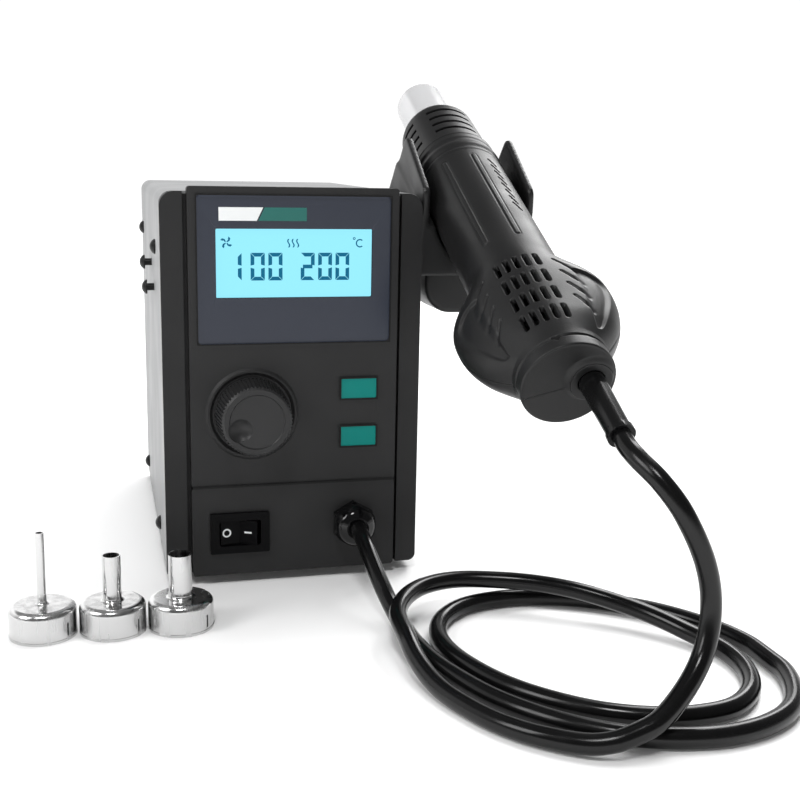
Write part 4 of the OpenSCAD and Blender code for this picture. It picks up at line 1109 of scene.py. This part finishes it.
# Where the world changes, as parts of a direction of length 1. The backdrop begins along
# y and fades along z, where a share of x makes it higher on the left. Low down the world
# is white all round
BEHIND_START = -0.3
BEHIND_END = 0.45
FADE_START = 0.34
FADE_END = 0.5
FADE_SLANT = 0.3
LOW_START = 0.05
LOW_END = 0.16


def add_floor(mats):
    corners = box_shape(-FLOOR_HALF, -FLOOR_HALF, FLOOR_HALF, FLOOR_HALF)
    points = [(x, y, 0) for x, y in corners]
    floor = mesh_piece("floor", points, [(0, 1, 2, 3)], mats["floor"], smooth=False)


def add_world():
    """A white backdrop, higher on the left and low all round, that fades to a dim room above."""
    world = bpy.data.worlds.new("studio")
    bpy.context.scene.world = world
    world.use_nodes = True
    tree = world.node_tree
    place = tree.nodes.new("ShaderNodeTexCoord")
    parts = tree.nodes.new("ShaderNodeSeparateXYZ")
    tree.links.new(place.outputs["Generated"], parts.inputs["Vector"])
    behind = span_node(tree, parts.outputs["Y"], BEHIND_START, BEHIND_END, 0, 1)
    height = math_node(tree, "MULTIPLY_ADD", parts.outputs["X"], FADE_SLANT, parts.outputs["Z"])
    fade = span_node(tree, height, FADE_START, FADE_END, BACKDROP - ROOM, OVERHEAD - ROOM)
    back = math_node(tree, "MULTIPLY", behind, fade)
    low = span_node(tree, parts.outputs["Z"], LOW_START, LOW_END, BACKDROP - ROOM, 0)
    light = math_node(tree, "ADD", math_node(tree, "MAXIMUM", back, low), ROOM)
    background = tree.nodes["Background"]
    background.inputs["Color"].default_value = (1, 1, 1, 1)
    tree.links.new(light, background.inputs["Strength"])


def add_light(name, at, aim, width, height, power):
    data = bpy.data.lights.new(name, "AREA")
    data.shape = "RECTANGLE"
    data.size = width
    data.size_y = height
    data.energy = power
    light = bpy.data.objects.new(name, data)
    bpy.context.scene.collection.objects.link(light)
    light.location = at
    light.rotation_euler = (Vector(aim) - Vector(at)).to_track_quat("-Z", "Y").to_euler()


def add_sun(name, direction, strength, angle):
    """A wide, soft sun that shows in no reflection."""
    data = bpy.data.lights.new(name, "SUN")
    data.energy = strength
    data.angle = math.radians(angle)
    sun = bpy.data.objects.new(name, data)
    bpy.context.scene.collection.objects.link(sun)
    sun.rotation_euler = Vector(direction).to_track_quat("-Z", "Y").to_euler()
    sun.visible_glossy = False


def add_lights():
    add_sun("overhead", (-0.3, -0.4, -1), 2.6, 44)
    add_light("softbox_left", (-0.8, -0.35, 0.7), (-0.05, 0, 0.15), 0.35, 0.5, 4.5)
    add_light("softbox_back", (0.66, 0.55, 0.85), (0.07, -0.1, 0.15), 0.35, 0.8, 7)
    add_light("softbox_front", (-0.15, -0.6, 0.85), (0, -0.1, 0.08), 0.2, 0.2, 3)


def main():
    add_camera()
    mats = make_materials()
    dress_nodes(mats)
    add_cord(mats)
    add_shells(mats)
    add_display(mats)
    add_bars(mats)
    add_joints(mats)
    add_rocker_marks(mats)
    add_floor(mats)
    add_world()
    add_lights()
    bpy.context.scene.view_settings.view_transform = "Standard"


main()
